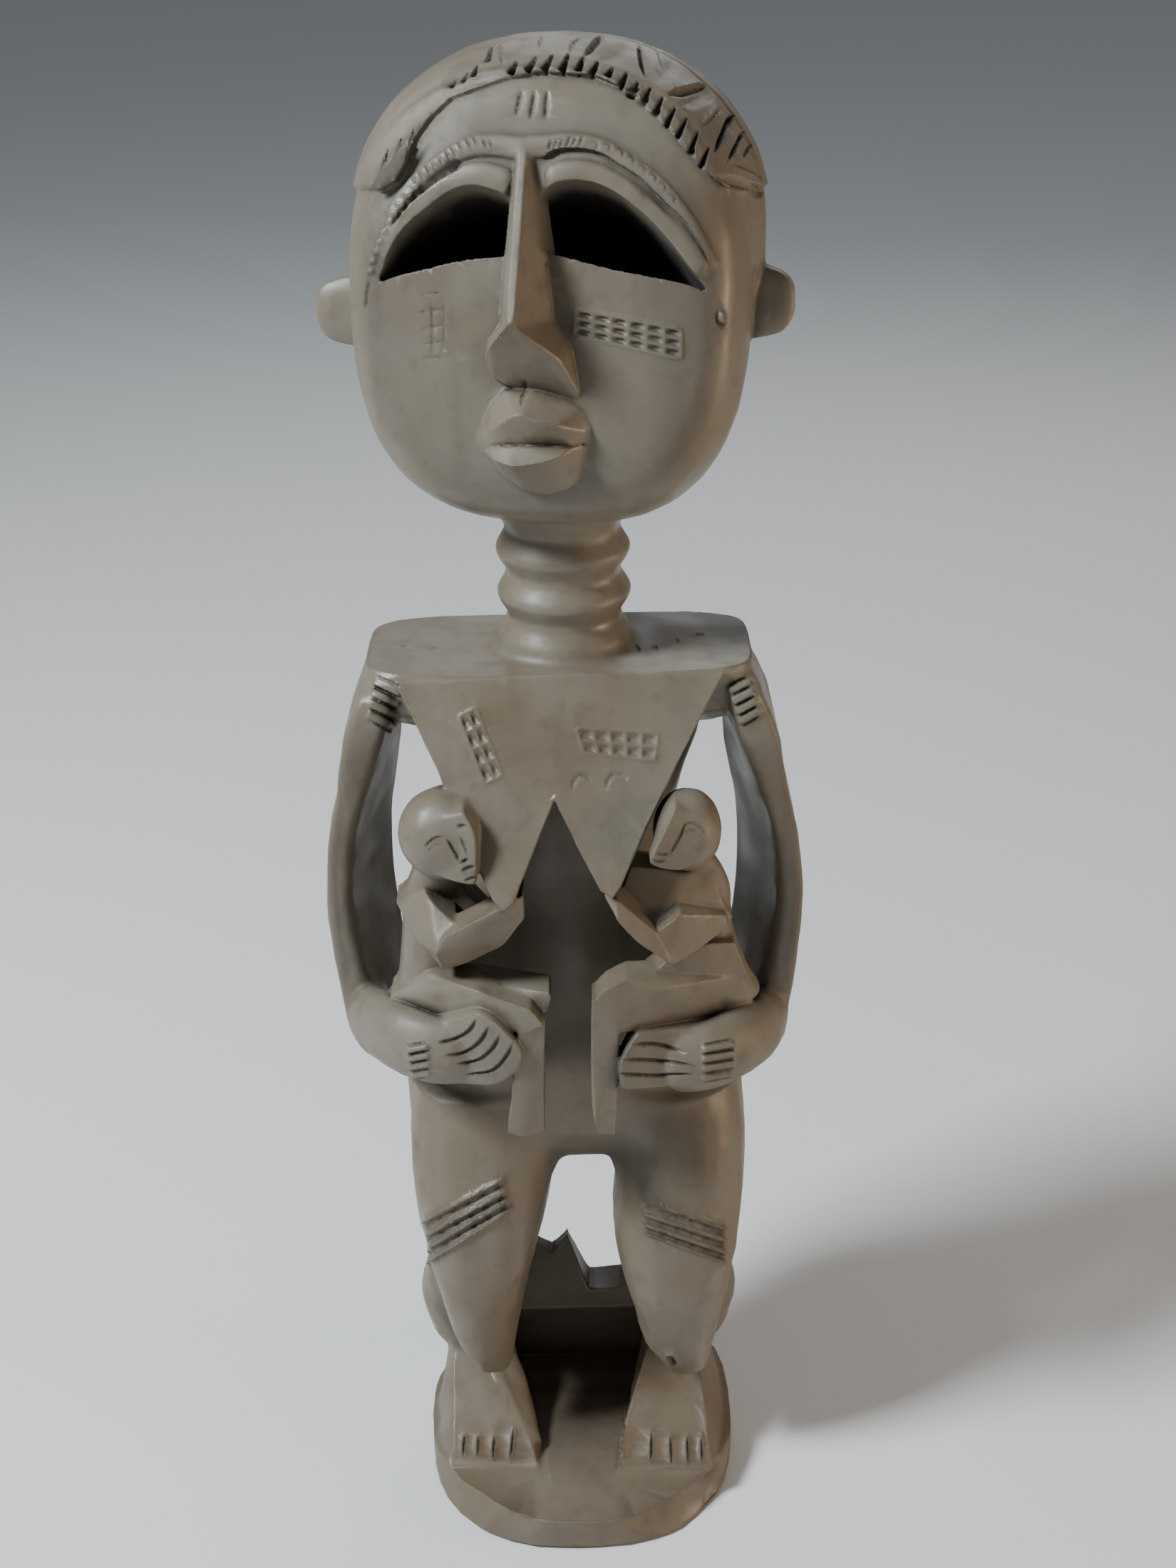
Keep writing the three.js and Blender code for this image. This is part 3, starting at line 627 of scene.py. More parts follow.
def neck():
    foot = SHOULDER_TOP - 3
    rows = [[foot - 4, 2, -1, FOOT_RADIUS, FOOT_RADIUS]]
    for half in range(2 * NECK_RINGS + 1):
        radius = RING_RADIUS if half % 2 else GAP_RADIUS
        radius += 3.0 if half == 0 else 0
        rows.append([foot + 0.5 * NECK_PITCH * half, 2, -1, radius, radius])
    wood.add(column(rows, power=2), 4)


# Head: its own frame has the face at -Y. Levels are the depth Y with the share of the full width and of
# the full height, which is the same share where it isn't given.
HEAD_ORIGIN = (3, 0, 421)
HEAD_SPIN = spin_of(turn=-11, tilt=-6)
FACE_LEVELS = [
    (-38.4, 0.2, 0.16), (-37.4, 0.55, 0.42), (-35, 0.81, 0.68), (-28, 0.95, 0.87), (-16, 1, 0.93),
    (2, 0.97, 0.91), (16, 0.78, 0.75),
]
HAIR_LEVELS = [
    (-28.5, 0.83), (-25, 0.89), (-12, 0.97), (6, 1), (27, 0.92), (41, 0.71), (48, 0.36), (50, 0.1),
]
FACE = {"half": 58, "middle": -3, "rise": 66, "drop": 68, "powers": (2.4, 2.8)}
HAIR = {"half": 59.6, "middle": 10, "rise": 54.4, "drop": 50, "powers": (2.2, 2.2)}
# The hair's front edge in X and Z, how far it stands out of the forehead, and its level behind
HAIR_EDGE = [
    (-62, 24), (-43, 24.5), (-38, 27), (-35, 32), (-33, 38), (-29, 43.5), (-23.4, 48.5), (-9.7, 53.3),
    (0, 55.4), (15.6, 54.6), (26.5, 50.3), (37.5, 40.5), (46, 31), (51, 26.5), (55, 24.5), (62, 24),
]
HAIR_RISE = 1.5
HAIR_LEVEL_BEHIND = 24
HAIR_BOX = ((-64, -40, 20), (64, 50, 62))
# Strands behind and beside the head run from the crown to the hair's edge
STRANDS = 26
STRAND_DEPTH = 0.9
CROWN_Y = 4
CROWN_RADIUS = 14
# Brows, lids and the hollows of the eyes, as pixels of the photograph
BROW = {"width": 6.5, "height": 1.9, "grow": (1.0, 0.55), "taper": 0}
LID = {"width": 9.5, "height": 2.2, "grow": (1.0, 0.7), "taper": 0.05}
BROWS = [
    [
        (728, 208), (708, 204), (690, 203), (665, 205), (642, 214), (620, 228), (598, 244), (578, 262),
        (562, 281), (549, 302),
    ],
    [
        (732, 208), (752, 205), (770, 204), (800, 201), (832, 205), (856, 215), (882, 231), (907, 247),
        (930, 267), (952, 293), (970, 318), (986, 345), (1000, 372),
    ],
]
LIDS = [
    [
        (716, 268), (700, 257), (672, 250), (645, 256), (620, 268), (597, 284), (575, 303), (559, 323),
        (547, 343), (538, 366),
    ],
    [
        (768, 260), (788, 250), (812, 247), (840, 253), (868, 267), (897, 289), (920, 308), (944, 331),
        (967, 358), (988, 387),
    ],
]
HOLLOWS = [
    [
        (724, 285), (708, 277), (690, 270), (665, 264), (640, 269), (620, 281), (600, 296), (580, 312),
        (562, 331), (549, 352), (540, 370), (533, 391), (560, 384), (590, 378), (620, 371), (660, 364),
        (702, 361), (724, 360),
    ],
    [
        (746, 282), (762, 272), (785, 260), (810, 257), (840, 263), (870, 278), (900, 301), (922, 322),
        (945, 346), (966, 372), (990, 401), (960, 395), (920, 388), (860, 378), (800, 363), (746, 350),
    ],
]
# The hollows run from before the face to their back, and fall as they go in
FACE_FRONT = -37.0
HOLLOW_FRONT = -70
HOLLOW_BACK = -4.0
HOLLOW_FALL = 0.45
# Nose and lips: the corners of faceted blocks, in the head's own frame
NOSE_BRIDGE = [
    (-5.5, -33, 37.5), (-3.4, -38, 37), (-1.4, -38, 37), (2.0, -33, 37.5),
    (-7.2, -33, 20), (-3.8, -45.3, 20), (-1.2, -45.3, 20), (4.0, -33, 20),
    (-10.5, -33, -8), (-3.4, -57.6, -8), (-1.0, -57.8, -8), (8.0, -33, -8),
    (-10.5, -33, -14), (8.0, -33, -14),
]
NOSE_TIP = [
    (-3.2, -57.6, -8), (-1.4, -57.8, -8), (-10.2, -50.5, -15.3), (2.0, -51, -15.2), (-12.2, -46, -18),
    (-13, -42, -21.5), (-11, -40, -25.5), (-7, -39, -27.8), (-1, -40, -27.6), (7, -48.5, -16.8),
    (9.4, -46, -18.5), (11.4, -42, -23.4), (13.2, -38.5, -29.5), (12.4, -36.5, -32.5), (-13.5, -33, -15),
    (-12, -33, -26), (12, -33, -15), (12.6, -33, -33), (-8, -33, -8), (7, -33, -8),
]
UPPER_LIP = [
    (-12.3, -38, -32.5), (-8.2, -39, -28.5), (0.9, -40, -27.8), (9.9, -39, -30.8), (13.9, -38, -33),
    (16.4, -36.5, -37.5), (-1.2, -48.8, -33.2), (-5, -48, -34.4), (-10, -45, -38.2), (-17.5, -36, -43.5),
    (3.8, -48.6, -35.2), (7.8, -47.4, -36.4), (15, -40, -39.2), (-15.8, -36, -46), (-12.5, -40.5, -44),
    (-8.4, -43, -43), (0, -44, -42.5), (11.8, -41.5, -43), (15.4, -37, -43), (-12, -30, -33),
    (12, -30, -33), (-16, -30, -45), (15, -30, -43), (-8, -30, -28), (8, -30, -28),
]
LOWER_LIP = [
    (-15.8, -36, -46), (-12.5, -40.5, -44.2), (-8.4, -43, -43.2), (0, -44, -42.7), (11.8, -41.5, -43.2),
    (15.4, -37, -43.2), (-10.5, -44.8, -47.2), (-4.2, -49.2, -48), (3.7, -49.2, -46.8), (8.8, -46.8, -45.4),
    (-15, -35.5, -47.6), (-8.6, -38, -54), (-2.5, -37.5, -57.6), (3.6, -37, -58.6), (9.8, -37, -56.6),
    (12.8, -36.5, -54), (14.8, -36, -47), (-15, -30, -47), (15, -30, -46), (-3, -30, -57), (9, -30, -56),
]


def on_head(form):
    return turned(form, HEAD_SPIN, HEAD_ORIGIN)


def egg(levels, size):
    """Oval levels facing the front, whose upper and lower halves reach differently far."""
    levels = [level if len(level) == 3 else (*level, level[1]) for level in levels]
    profile = Profile(levels)
    steep = np.sqrt(1 + (np.gradient(profile.values[0], profile.stations) * size["half"]) ** 2)
    reach = size["half"] * profile.largest[0]

    def distance(x, y, z):
        across, up = profile.at(y, 0), profile.at(y, 1)
        height = z - size["middle"]
        upper = height > 0
        tall = np.where(upper, size["rise"] * up, size["drop"] * across)
        wide = np.abs(x) / (size["half"] * across)
        high = np.abs(height) / tall
        powers = size["powers"]
        filled = np.where(
            upper,
            (wide ** powers[0] + high ** powers[0]) ** (1 / powers[0]),
            (wide ** powers[1] + high ** powers[1]) ** (1 / powers[1]),
        )
        out = np.sqrt(x**2 + height**2)
        sides = (out - out / np.maximum(filled, NEVER_ZERO)) / np.interp(y, profile.stations, steep)
        ends = np.maximum(profile.low - y, y - profile.high)
        return smooth_max([sides.astype(np.float32), (ends + 0 * sides).astype(np.float32)], 2.0)

    low = [-reach, profile.low, size["middle"] - size["drop"]]
    high = [reach, profile.high, size["middle"] + size["rise"]]
    return low, high, distance


def swell(field, rise, blend):
    """Raises the wood by a form's numbers in place of its distances. There is nothing to blend."""
    return field - rise


def hair_rise(x, y, z):
    """How far the hair stands out of the forehead, above its edge."""
    edge_x, edge_z = np.array(HAIR_EDGE, float).T
    level = np.interp(x, edge_x, edge_z)
    level = HAIR_LEVEL_BEHIND + (level - HAIR_LEVEL_BEHIND) * np.clip((-6 - y) / 14, 0, 1)
    behind = np.clip((y + 8) / 8, 0, 1) * np.clip((np.hypot(x, y - CROWN_Y) - CROWN_RADIUS) / 10, 0, 1)
    strands = np.clip((np.cos(STRANDS * np.arctan2(x, y - CROWN_Y)) - 0.6) / 0.4, 0, 1)
    above_edge = np.clip((z - level) / 0.9 + 0.5, 0, 1)
    return (above_edge * (HAIR_RISE - STRAND_DEPTH * behind * strands)).astype(np.float32)


# The hollows of both eyes, kept for the painted shade inside them
eye_hollows = []


def head_outline(pixels):
    """Pixels on the face as X and Z in the head's own frame."""
    places, _ = on_wood(rounded_path(pixels, 3))
    return ((places - np.array(HEAD_ORIGIN)) @ HEAD_SPIN)[:, [0, 2]]


def head():
    wood.add(on_head(egg(FACE_LEVELS, FACE)), 2)
    wood.add(on_head(egg(HAIR_LEVELS, HAIR)), 0.6)
    wood.shape(on_head((*HAIR_BOX, hair_rise)), swell, 0)
    outlines = [head_outline(hollow) for hollow in HOLLOWS]
    for lid in LIDS:
        bead(lid, **LID)
    for brow in BROWS:
        bead(brow, **BROW)
    carve()
    for outline in outlines:
        dropped = outline - [0, HOLLOW_FALL * (HOLLOW_BACK - FACE_FRONT)]
        hollow = on_head(slab(dropped, HOLLOW_FRONT, HOLLOW_BACK, (0, -HOLLOW_FALL), rounded=3))
        wood.cut(hollow, 0.6)
        eye_hollows.append(hollow)
    wood.add(on_head(block(NOSE_BRIDGE, 0.6)), 0.5)
    wood.add(on_head(block(NOSE_TIP, 0.7)), 0.5)
    wood.add(on_head(block(UPPER_LIP, 0.5)), 0.8)
    wood.add(on_head(block(LOWER_LIP, 0.5)), 0.25)
    ears()


# Ears: how far out each reaches and its height, the half width and half height, and for each depth Y how
# far the edge is drawn in
EARS = {-1: (74.5, -13.5), 1: (68.5, -8)}
EAR_HALF = (16, 10.5)
EAR_LEVELS = ((-1, 2), (1, 0), (8, 0), (10, 2))


def ears():
    for side in SIDES:
        reach, z = EARS[side]
        x = side * (reach - EAR_HALF[0])
        rows = [[y, x, z, EAR_HALF[0] - inset, EAR_HALF[1] - inset] for y, inset in EAR_LEVELS]
        wood.add(on_head(column(rows, power=3, facing_front=True, cap=3)), 1.5)


# Arms: rows of Z, how far out the arm reaches, its width in front, front Y, back Y and width behind
ARM_ROWS = [
    (302, 59.5, 8, -20, 10, 10),
    (296, 63, 12, -26, 14, 16),
    (284, 67.8, 14, -27, 13, 18),
    (262, 72, 11, -22, 13, 20),
    (240, 76.5, 9, -20, 14, 21),
    (222, 78, 9, -20, 14, 22),
    (200, 76.5, 10, -21, 14, 22),
    (182, 74, 13, -22, 12, 20),
    (168, 68, 13, -20, 4, 13),
    (160, 62, 6, -15, -4, 8),
]
ARM_REACH = (30, 79)
ARM_FRONT, ARM_BACK = -32, 18


def arm(side):
    profile = Profile(ARM_ROWS)

    def distance(x, y, z):
        outer, front_width, front, back, back_width = (profile.at(z, at) for at in range(5))
        out = side * x
        inner_front, inner_back = outer - front_width, outer - back_width
        length = np.sqrt((inner_front - inner_back) ** 2 + (back - front) ** 2)
        inner = (-(out - inner_front) * (back - front) - (y - front) * (inner_front - inner_back)) / length
        ends = np.maximum(profile.low - z, z - profile.high)
        faces = [out - outer, front - y, y - back, inner, ends]
        return smooth_max([(face + 0 * x + 0 * y + 0 * z).astype(np.float32) for face in faces], 5.0)

    low_x, high_x = sorted(side * reach for reach in ARM_REACH)
    return [low_x, ARM_FRONT, profile.low], [high_x, ARM_BACK, profile.high], distance


# The corners of each hand, as pixels with a depth, and the lines between the fingers
HAND_THICKNESS = 11
HANDS = {
    -1: [
        (600, 1438, -50), (642, 1430, -55), (668, 1422, -60), (690, 1430, -62), (712, 1450, -63),
        (735, 1478, -62), (733, 1496, -61), (715, 1516, -60), (690, 1528, -59), (650, 1522, -57),
        (600, 1518, -52), (588, 1470, -48),
    ],
    1: [
        (893, 1452, -60), (1040, 1437, -46), (1046, 1500, -46), (985, 1518, -52), (930, 1531, -58),
        (872, 1532, -61), (867, 1510, -62), (870, 1490, -62), (882, 1468, -61),
    ],
}
FINGER_GAPS = [
    [(610, 1464), (638, 1459), (658, 1447), (668, 1430)],
    [(622, 1482), (652, 1478), (674, 1462), (686, 1440)],
    [(636, 1494), (668, 1490), (690, 1474), (702, 1452)],
    [(650, 1509), (688, 1505), (709, 1486), (720, 1464)],
    [(886, 1467), (920, 1466), (962, 1477)],
    [(872, 1488), (920, 1489), (978, 1497)],
    [(867, 1508), (920, 1510), (978, 1508)],
]
PAD_HEIGHT = 1.1
BETWEEN_PADS = {"width": 0.9, "depth": 0.8, "taper": 0.1}
PIXELS_PER_PAD = 4.6
# Raised pads in rows: four corners as pixels, columns and rows
WRIST_BANDS = [
    ([(570, 1468), (600, 1462), (604, 1512), (574, 1517)], 2, 4),
    ([(986, 1466), (1030, 1458), (1032, 1512), (986, 1520)], 3, 4),
]
SHOULDER_BANDS = [
    ([(526, 948), (563, 964), (554, 1028), (515, 1010)], 3, 4),
    ([(1022, 962), (1050, 949), (1066, 1004), (1040, 1020)], 3, 4),
]


def quad_spot(corners, across, down):
    """The pixel at a share of the way across and down between four corners."""
    a, b, c, d = (np.array(corner, float) for corner in corners)
    top, foot = a + across * (b - a), d + across * (c - d)
    return tuple(top + down * (foot - top))


def across_quad(corners, down, start=0, stop=1):
    """The line across four corners at a share of the way down."""
    return [quad_spot(corners, start, down), quad_spot(corners, stop, down)]


def pads(corners, columns, rows):
    """Rows of raised pads with a groove above and below each row."""
    for row in range(rows):
        tall = np.linalg.norm(np.array(corners[3]) - corners[0]) / rows / PIXELS_PER_PAD
        for column_at in range(columns):
            start, stop = (column_at + 0.2) / columns, (column_at + 0.8) / columns
            bead(across_quad(corners, (row + 0.5) / rows, start, stop), 0.8 * tall, PAD_HEIGHT, taper=0.0)
    for row in range(rows + 1):
        groove(across_quad(corners, row / rows), **BETWEEN_PADS)


def arms():
    for side in SIDES:
        lift = 5 if side < 0 else 0
        wood.add(arm(side), 2)
        wood.add(limb([
            (side * 66, -8, 172, 8, 10),
            (side * 63, -27, 178 + lift, 8, 11),
            (side * 53, -44, 182 + lift, 7.5, 11.5),
            (side * 43, -51, 182 + lift, 6.5, 11),
            (side * 34, -53, 181 + lift, 5, 10),
        ]), 3)
        wood.add(seen_block(HANDS[side], HAND_THICKNESS, 1.5), 1.0)


# Legs: sections at a height Z, as x, y, half width and half depth
THIGHS = {
    -1: [
        (150, -27, 2, 29, 30),
        (130, -30.5, -4, 26, 31),
        (110, -31.5, -8, 25.2, 31.5),
        (92, -32, -12, 21.8, 29.5),
        (76, -32.5, -15, 18, 26),
        (62, -32.7, -18, 14.6, 21),
        (47, -32, -21, 11, 14),
        (35, -30, -23.5, 6.5, 7),
    ],
    1: [
        (150, 30, 2, 29, 30),
        (130, 38.5, -4, 22.5, 31),
        (111, 37.4, -8, 23.3, 31.5),
        (97, 36.2, -11, 23.3, 30.5),
        (78, 35.7, -15, 21, 27),
        (62, 36.2, -18, 17, 21.5),
        (47, 36.5, -21, 13.5, 15),
        (33, 39, -23.5, 7.5, 7.5),
    ],
}
STANCES = {-1: {"x": 30, "half": 17, "toes": -39}, 1: {"x": 32, "half": 17.2, "toes": -44}}
HEEL_LINE = 28
CALF = [
    (-1, 36, 12, 12, 14), (16, 38, 12.5, 11.6, 13.8), (29, 40.5, 12.5, 15, 17.5), (43, 41.5, 9.5, 16.5, 20),
    (60, 40, 3, 15.5, 20), (80, 35, -5, 15.5, 20),
]
# The corners of each foot, and the lines between the toes as pixels
FOOT_BLOCKS = {
    -1: [
        (-47, 2, 30), (-35, 2, 29), (-48, -14, 18), (-33, -12, 16), (-47, -32, 7), (-16, -34, 6),
        (-48, -37, -1), (-14, -39, -1), (-52, -28, -1), (-54, -5, -1), (-50, 16, -1), (-22, 20, -1),
        (-15, -16, 7), (-50, 8, 16),
    ],
    1: [
        (27, 0, 30), (45, 0, 30), (22, -14, 19), (48, -14, 17), (13, -38, 6.5), (48, -38, 6), (14, -43, -1),
        (49, -43, -1), (24, 20, -1), (53, 16, -1), (55, -6, -1), (53, -30, -1), (52, 6, 14),
    ],
}
TOE_GAPS = [
    [(652, 2010), (650, 2046)], [(672, 2010), (670, 2048)], [(694, 2012), (692, 2050)],
    [(722, 1998), (716, 2052)], [(874, 1980), (873, 2054)], [(915, 2004), (914, 2058)],
    [(941, 2010), (943, 2058)], [(965, 2010), (966, 2058)], [(985, 2010), (986, 2056)],
]


def legs():
    for side in SIDES:
        wood.add(column(THIGHS[side], power=2.4, cap=3), 6)
    for side in SIDES:
        out = 0 if side < 0 else 1.5
        wood.add(column([(z, side * (x + out), *rest) for z, x, *rest in CALF]), 3)
        foot(side, STANCES[side])


def foot(side, stance):
    def sole(y, x, half_width, height):
        return (y, side * x, 0.5 * (height - 1), half_width, 0.5 * (height + 1))

    wood.add(column([
        sole(HEEL_LINE, 36, 9, 12),
        sole(20, 36, 12, 20),
        sole(4, 34, 12, 28),
        sole(-14, stance["x"] + 1, 15, 15),
        sole(stance["toes"] + 9, stance["x"], stance["half"], 7.5),
    ], power=2.6, facing_front=True), 2.5)
    wood.add(block(FOOT_BLOCKS[side], 2.0), 2.0)


# The web between the calves, with its broken upper edge: X and Z, and its front and back Y
WEB_OUTLINE = [
    (-33, -1), (33, -1), (34, 67), (26, 53), (17, 39), (5, 38), (-3, 57), (-9, 50), (-20, 58), (-33, 72),
]
WEB_FRONT, WEB_BACK = 9, 27
# Its sloping front and the hollow below it, as Y and Z
WEB_SLOPE = [(9, 31), (2, 31), (2, 80), (27, 80), (26.5, 62)]
WEB_HOLLOW = [(2, 1), (20, 1), (2, 34), (19, 26)]


def web():
    wood.add(slab(WEB_OUTLINE, WEB_FRONT, WEB_BACK, rounded=1.5), 2)
    wood.cut(block([(x, y, z) for x in (-40, 40) for y, z in WEB_SLOPE], 1), 1.5)
    wood.cut(block([(x, y, z) for x in (-30, 30) for y, z in WEB_HOLLOW], 2), 3)


# Infants: each body's sections at a height Z, as x, y, half width and half depth
INFANT_BODIES = {
    -1: [
        (193, -47, -27, 11.5, 12),
        (204, -44.5, -28, 10, 12),
        (220, -43, -28, 9.5, 10),
        (232, -42, -29, 10, 8.5),
        (240, -40, -33, 9, 7),
        (250, -38.5, -37, 6.5, 6),
    ],
    1: [
        (193, 51, -27, 12.5, 12),
        (204, 47, -28, 11, 12),
        (220, 43.5, -28, 10, 10),
        (232, 42.5, -29, 10.5, 8.5),
        (240, 41, -32, 9.5, 7),
        (250, 38.5, -36, 7, 6),
    ],
}
# Arms, chests, thighs and shins of the infants, as pixels with a depth
INFANT_BLOCKS = {
    -1: [
        [
            (553, 1268, -36), (590, 1238, -36), (603, 1262, -44), (640, 1296, -50), (612, 1338, -55),
            (585, 1322, -48), (620, 1364, -48),
        ],
        [
            (612, 1338, -55), (618, 1320, -55), (645, 1303, -56), (668, 1297, -56), (690, 1287, -57),
            (703, 1275, -57), (735, 1256, -54), (738, 1290, -53), (705, 1330, -52), (660, 1352, -50),
            (622, 1363, -50),
        ],
        [
            (546, 1397, -38), (600, 1366, -42), (668, 1390, -56), (745, 1418, -61), (764, 1440, -61),
            (738, 1452, -60), (690, 1432, -58), (640, 1414, -52), (560, 1418, -40),
        ],
        [
            (640, 1374, -44), (700, 1381, -49), (772, 1393, -54), (776, 1402, -54), (766, 1436, -55),
            (700, 1412, -52),
        ],
        [(574, 1230, -33), (645, 1240, -36), (690, 1290, -38), (650, 1350, -40), (580, 1340, -38)],
        [
            (728, 1440, -60), (766, 1430, -59), (764, 1500, -58), (759, 1560, -55), (766, 1588, -54),
            (735, 1598, -57), (711, 1591, -57), (716, 1560, -56), (726, 1530, -57),
        ],
    ],
    1: [
        [
            (921, 1308, -54), (955, 1283, -52), (1020, 1283, -40), (1023, 1300, -40), (985, 1332, -48),
            (945, 1357, -55), (925, 1342, -56),
        ],
        [
            (868, 1262, -46), (884, 1215, -42), (965, 1222, -41), (1000, 1232, -38), (1030, 1290, -36),
            (960, 1300, -42), (922, 1312, -50),
        ],
        [
            (905, 1372, -49), (940, 1345, -47), (990, 1325, -43), (1032, 1322, -38), (1050, 1368, -38),
            (975, 1396, -46), (915, 1396, -50),
        ],
        [
            (921, 1308, -55), (866, 1260, -54), (850, 1249, -51), (846, 1258, -51), (865, 1296, -58),
            (895, 1326, -58), (945, 1357, -56),
        ],
        [
            (830, 1410, -60), (850, 1388, -60), (880, 1374, -58), (925, 1390, -56), (1045, 1368, -38),
            (1058, 1424, -36), (985, 1430, -44), (900, 1442, -56), (862, 1452, -60),
        ],
        [
            (830, 1405, -60), (868, 1440, -60), (870, 1500, -58), (860, 1560, -56), (864, 1594, -55),
            (836, 1594, -58), (829, 1560, -57), (827, 1480, -60),
        ],
    ],
}
# Each head is a ball, with its middle and its radii, and a block for the face
INFANT_HEADS = {-1: ((-36.5, -40, 258.5), (14.3, 13, 15.2)), 1: ((38.6, -40, 258), (10.8, 11.6, 13.4))}
INFANT_FACES = {
    -1: [
        (612, 1150, -50), (650, 1138, -52), (668, 1165, -54), (672, 1225, -56), (668, 1246, -54),
        (645, 1246, -54), (612, 1232, -51), (592, 1205, -48),
    ],
    1: [
        (946, 1130, -50), (931, 1165, -55), (914, 1200, -57), (909, 1216, -56), (935, 1227, -54),
        (962, 1226, -52), (990, 1200, -50), (985, 1145, -48),
    ],
}
INFANT_THICKNESS = 12
# Lines of the infants' faces: width, depth, pixels
INFANT_CUTS = [
    (1.1, 1.0, [(594, 1192), (603, 1181), (614, 1175), (627, 1175)]),
    (0.9, 0.6, [(598, 1198), (609, 1188), (624, 1184)]),
    (1.1, 1.2, [(626, 1176), (633, 1187), (641, 1202), (644, 1212)]),
    (1.0, 1.0, [(644, 1172), (650, 1186), (656, 1204)]),
    (1.6, 1.4, [(643, 1213), (651, 1209), (658, 1204)]),
    (2.2, 1.5, [(640, 1162), (648, 1160), (655, 1163)]),
    (2.0, 1.5, [(646, 1225), (656, 1219), (667, 1217)]),
    (1.7, 1.2, [(650, 1238), (660, 1234), (669, 1231)]),
    (1.0, 0.8, [(957, 1164), (965, 1156), (975, 1156), (985, 1163), (991, 1173)]),
    (0.8, 0.6, [(960, 1170), (972, 1165), (984, 1170)]),
    (1.3, 1.0, [(964, 1152), (956, 1172), (946, 1190), (940, 1202)]),
    (0.9, 1.0, [(918, 1197), (930, 1200), (942, 1199)]),
    (1.0, 1.1, [(914, 1207), (926, 1210), (938, 1208)]),
]


def infant(side):
    wood.add(column(INFANT_BODIES[side]), 1.5)
    for corners in INFANT_BLOCKS[side]:
        wood.add(seen_block(corners, INFANT_THICKNESS, 0.8), 0.8)
    wood.add(ball(*INFANT_HEADS[side]), 1.0)
    wood.add(seen_block(INFANT_FACES[side], INFANT_THICKNESS, 2.0), 1.5)


base()
trunk()
neck()
web()
legs()
arms()
for side in SIDES:
    infant(side)
head()


# Hair: the forehead dips below its front edge, which is notched into teeth
TOOTH_CUT = {"left": 0.45, "right": 1.9, "depth": 2.6, "grow": (0.45, 1.1), "taper": 0.0}
HAIR_WIDER, HAIR_DEEPER = 1.6, 1.5
TOOTH_CUTS = [
    ((642, 104), (634, 121)), ((657, 95), (650, 113)), ((671, 84), (666, 104)), ((690, 64), (686, 84)),
    ((727, 84), (719, 104)), ((754, 78), (743, 100)), ((777, 75), (767, 97)), ((799, 74), (792, 98)),
    ((820, 79), (815, 98)), ((841, 85), (834, 103)), ((862, 93), (856, 107)), ((882, 100), (875, 120)),
    ((898, 114), (888, 137)), ((915, 122), (904, 148)), ((932, 136), (921, 163)), ((950, 150), (938, 176)),
    ((966, 165), (955, 191)), ((982, 184), (971, 217)), ((997, 206), (988, 233)),
]
# Lines in the hair: width, depth, pixels
HAIR_LINES = [
    (2.0, 1.2, [(820, 78), (834, 62), (848, 44)]),
    (1.2, 0.6, [(799, 74), (804, 60), (816, 50)]),
    (1.3, 1.2, [(907, 108), (901, 86), (898, 62)]),
    (1.0, 0.5, [(936, 102), (928, 82), (922, 66)]),
    (2.2, 1.6, [(940, 132), (965, 126), (992, 118)]),
    (1.3, 2.0, [(1003, 213), (1015, 190), (1024, 168), (1032, 158)]),
    (0.9, 1.3, [(1021, 228), (1034, 203), (1046, 180)]),
    (0.8, 1.0, [(1043, 221), (1050, 210), (1057, 199)]),
    (0.8, 0.7, [(1024, 228), (1044, 234), (1062, 243), (1079, 258)]),
    (2.6, 1.4, [(1006, 247), (1030, 254), (1055, 262), (1082, 274)]),
    (7.0, 0.7, [(628, 112), (648, 96), (672, 74)]),
    (5.5, 0.6, [(842, 84), (866, 72), (884, 60)]),
    (5.0, 0.6, [(922, 112), (936, 96), (944, 82)]),
    (5.0, 0.7, [(958, 146), (980, 134), (998, 124)]),
    (4.0, 0.7, [(1008, 205), (1018, 186), (1026, 168)]),
    (5.0, 0.5, [(712, 84), (722, 66), (736, 50)]),
    (0.8, 0.5, [(700, 58), (703, 76), (706, 94)]),
    (0.8, 0.5, [(628, 96), (640, 90), (652, 82)]),
    (0.7, 0.5, [(760, 46), (757, 58), (755, 70)]),
    (0.8, 0.6, [(965, 150), (985, 142), (1003, 134)]),
    (0.8, 0.6, [(985, 178), (1000, 165), (1012, 150)]),
]


def hair_details():
    for top, foot in TOOTH_CUTS:
        stroke([top, foot], **TOOTH_CUT)
    for width, depth, pixels in HAIR_LINES:
        groove(pixels, HAIR_WIDER * width, HAIR_DEEPER * depth)


# Brows and the strings beside the eyes
BROW_CUT = {"width": 2.6, "depth": 2.0, "grow": (1.1, 0.5), "taper": 0.06}
HATCH_CUT = {"width": 1.3, "depth": 0.8}
CURL_CUT = {"width": 0.9, "depth": 0.5, "smooth": False}
BROW_GROOVES = [
    [(648, 228), (632, 238), (612, 250), (596, 263), (578, 278), (562, 297), (547, 318)],
    [
        (762, 224), (785, 215), (815, 214), (842, 220), (862, 232), (884, 245), (902, 258), (920, 276),
        (937, 293), (956, 309), (971, 329), (985, 349), (997, 372),
    ],
]
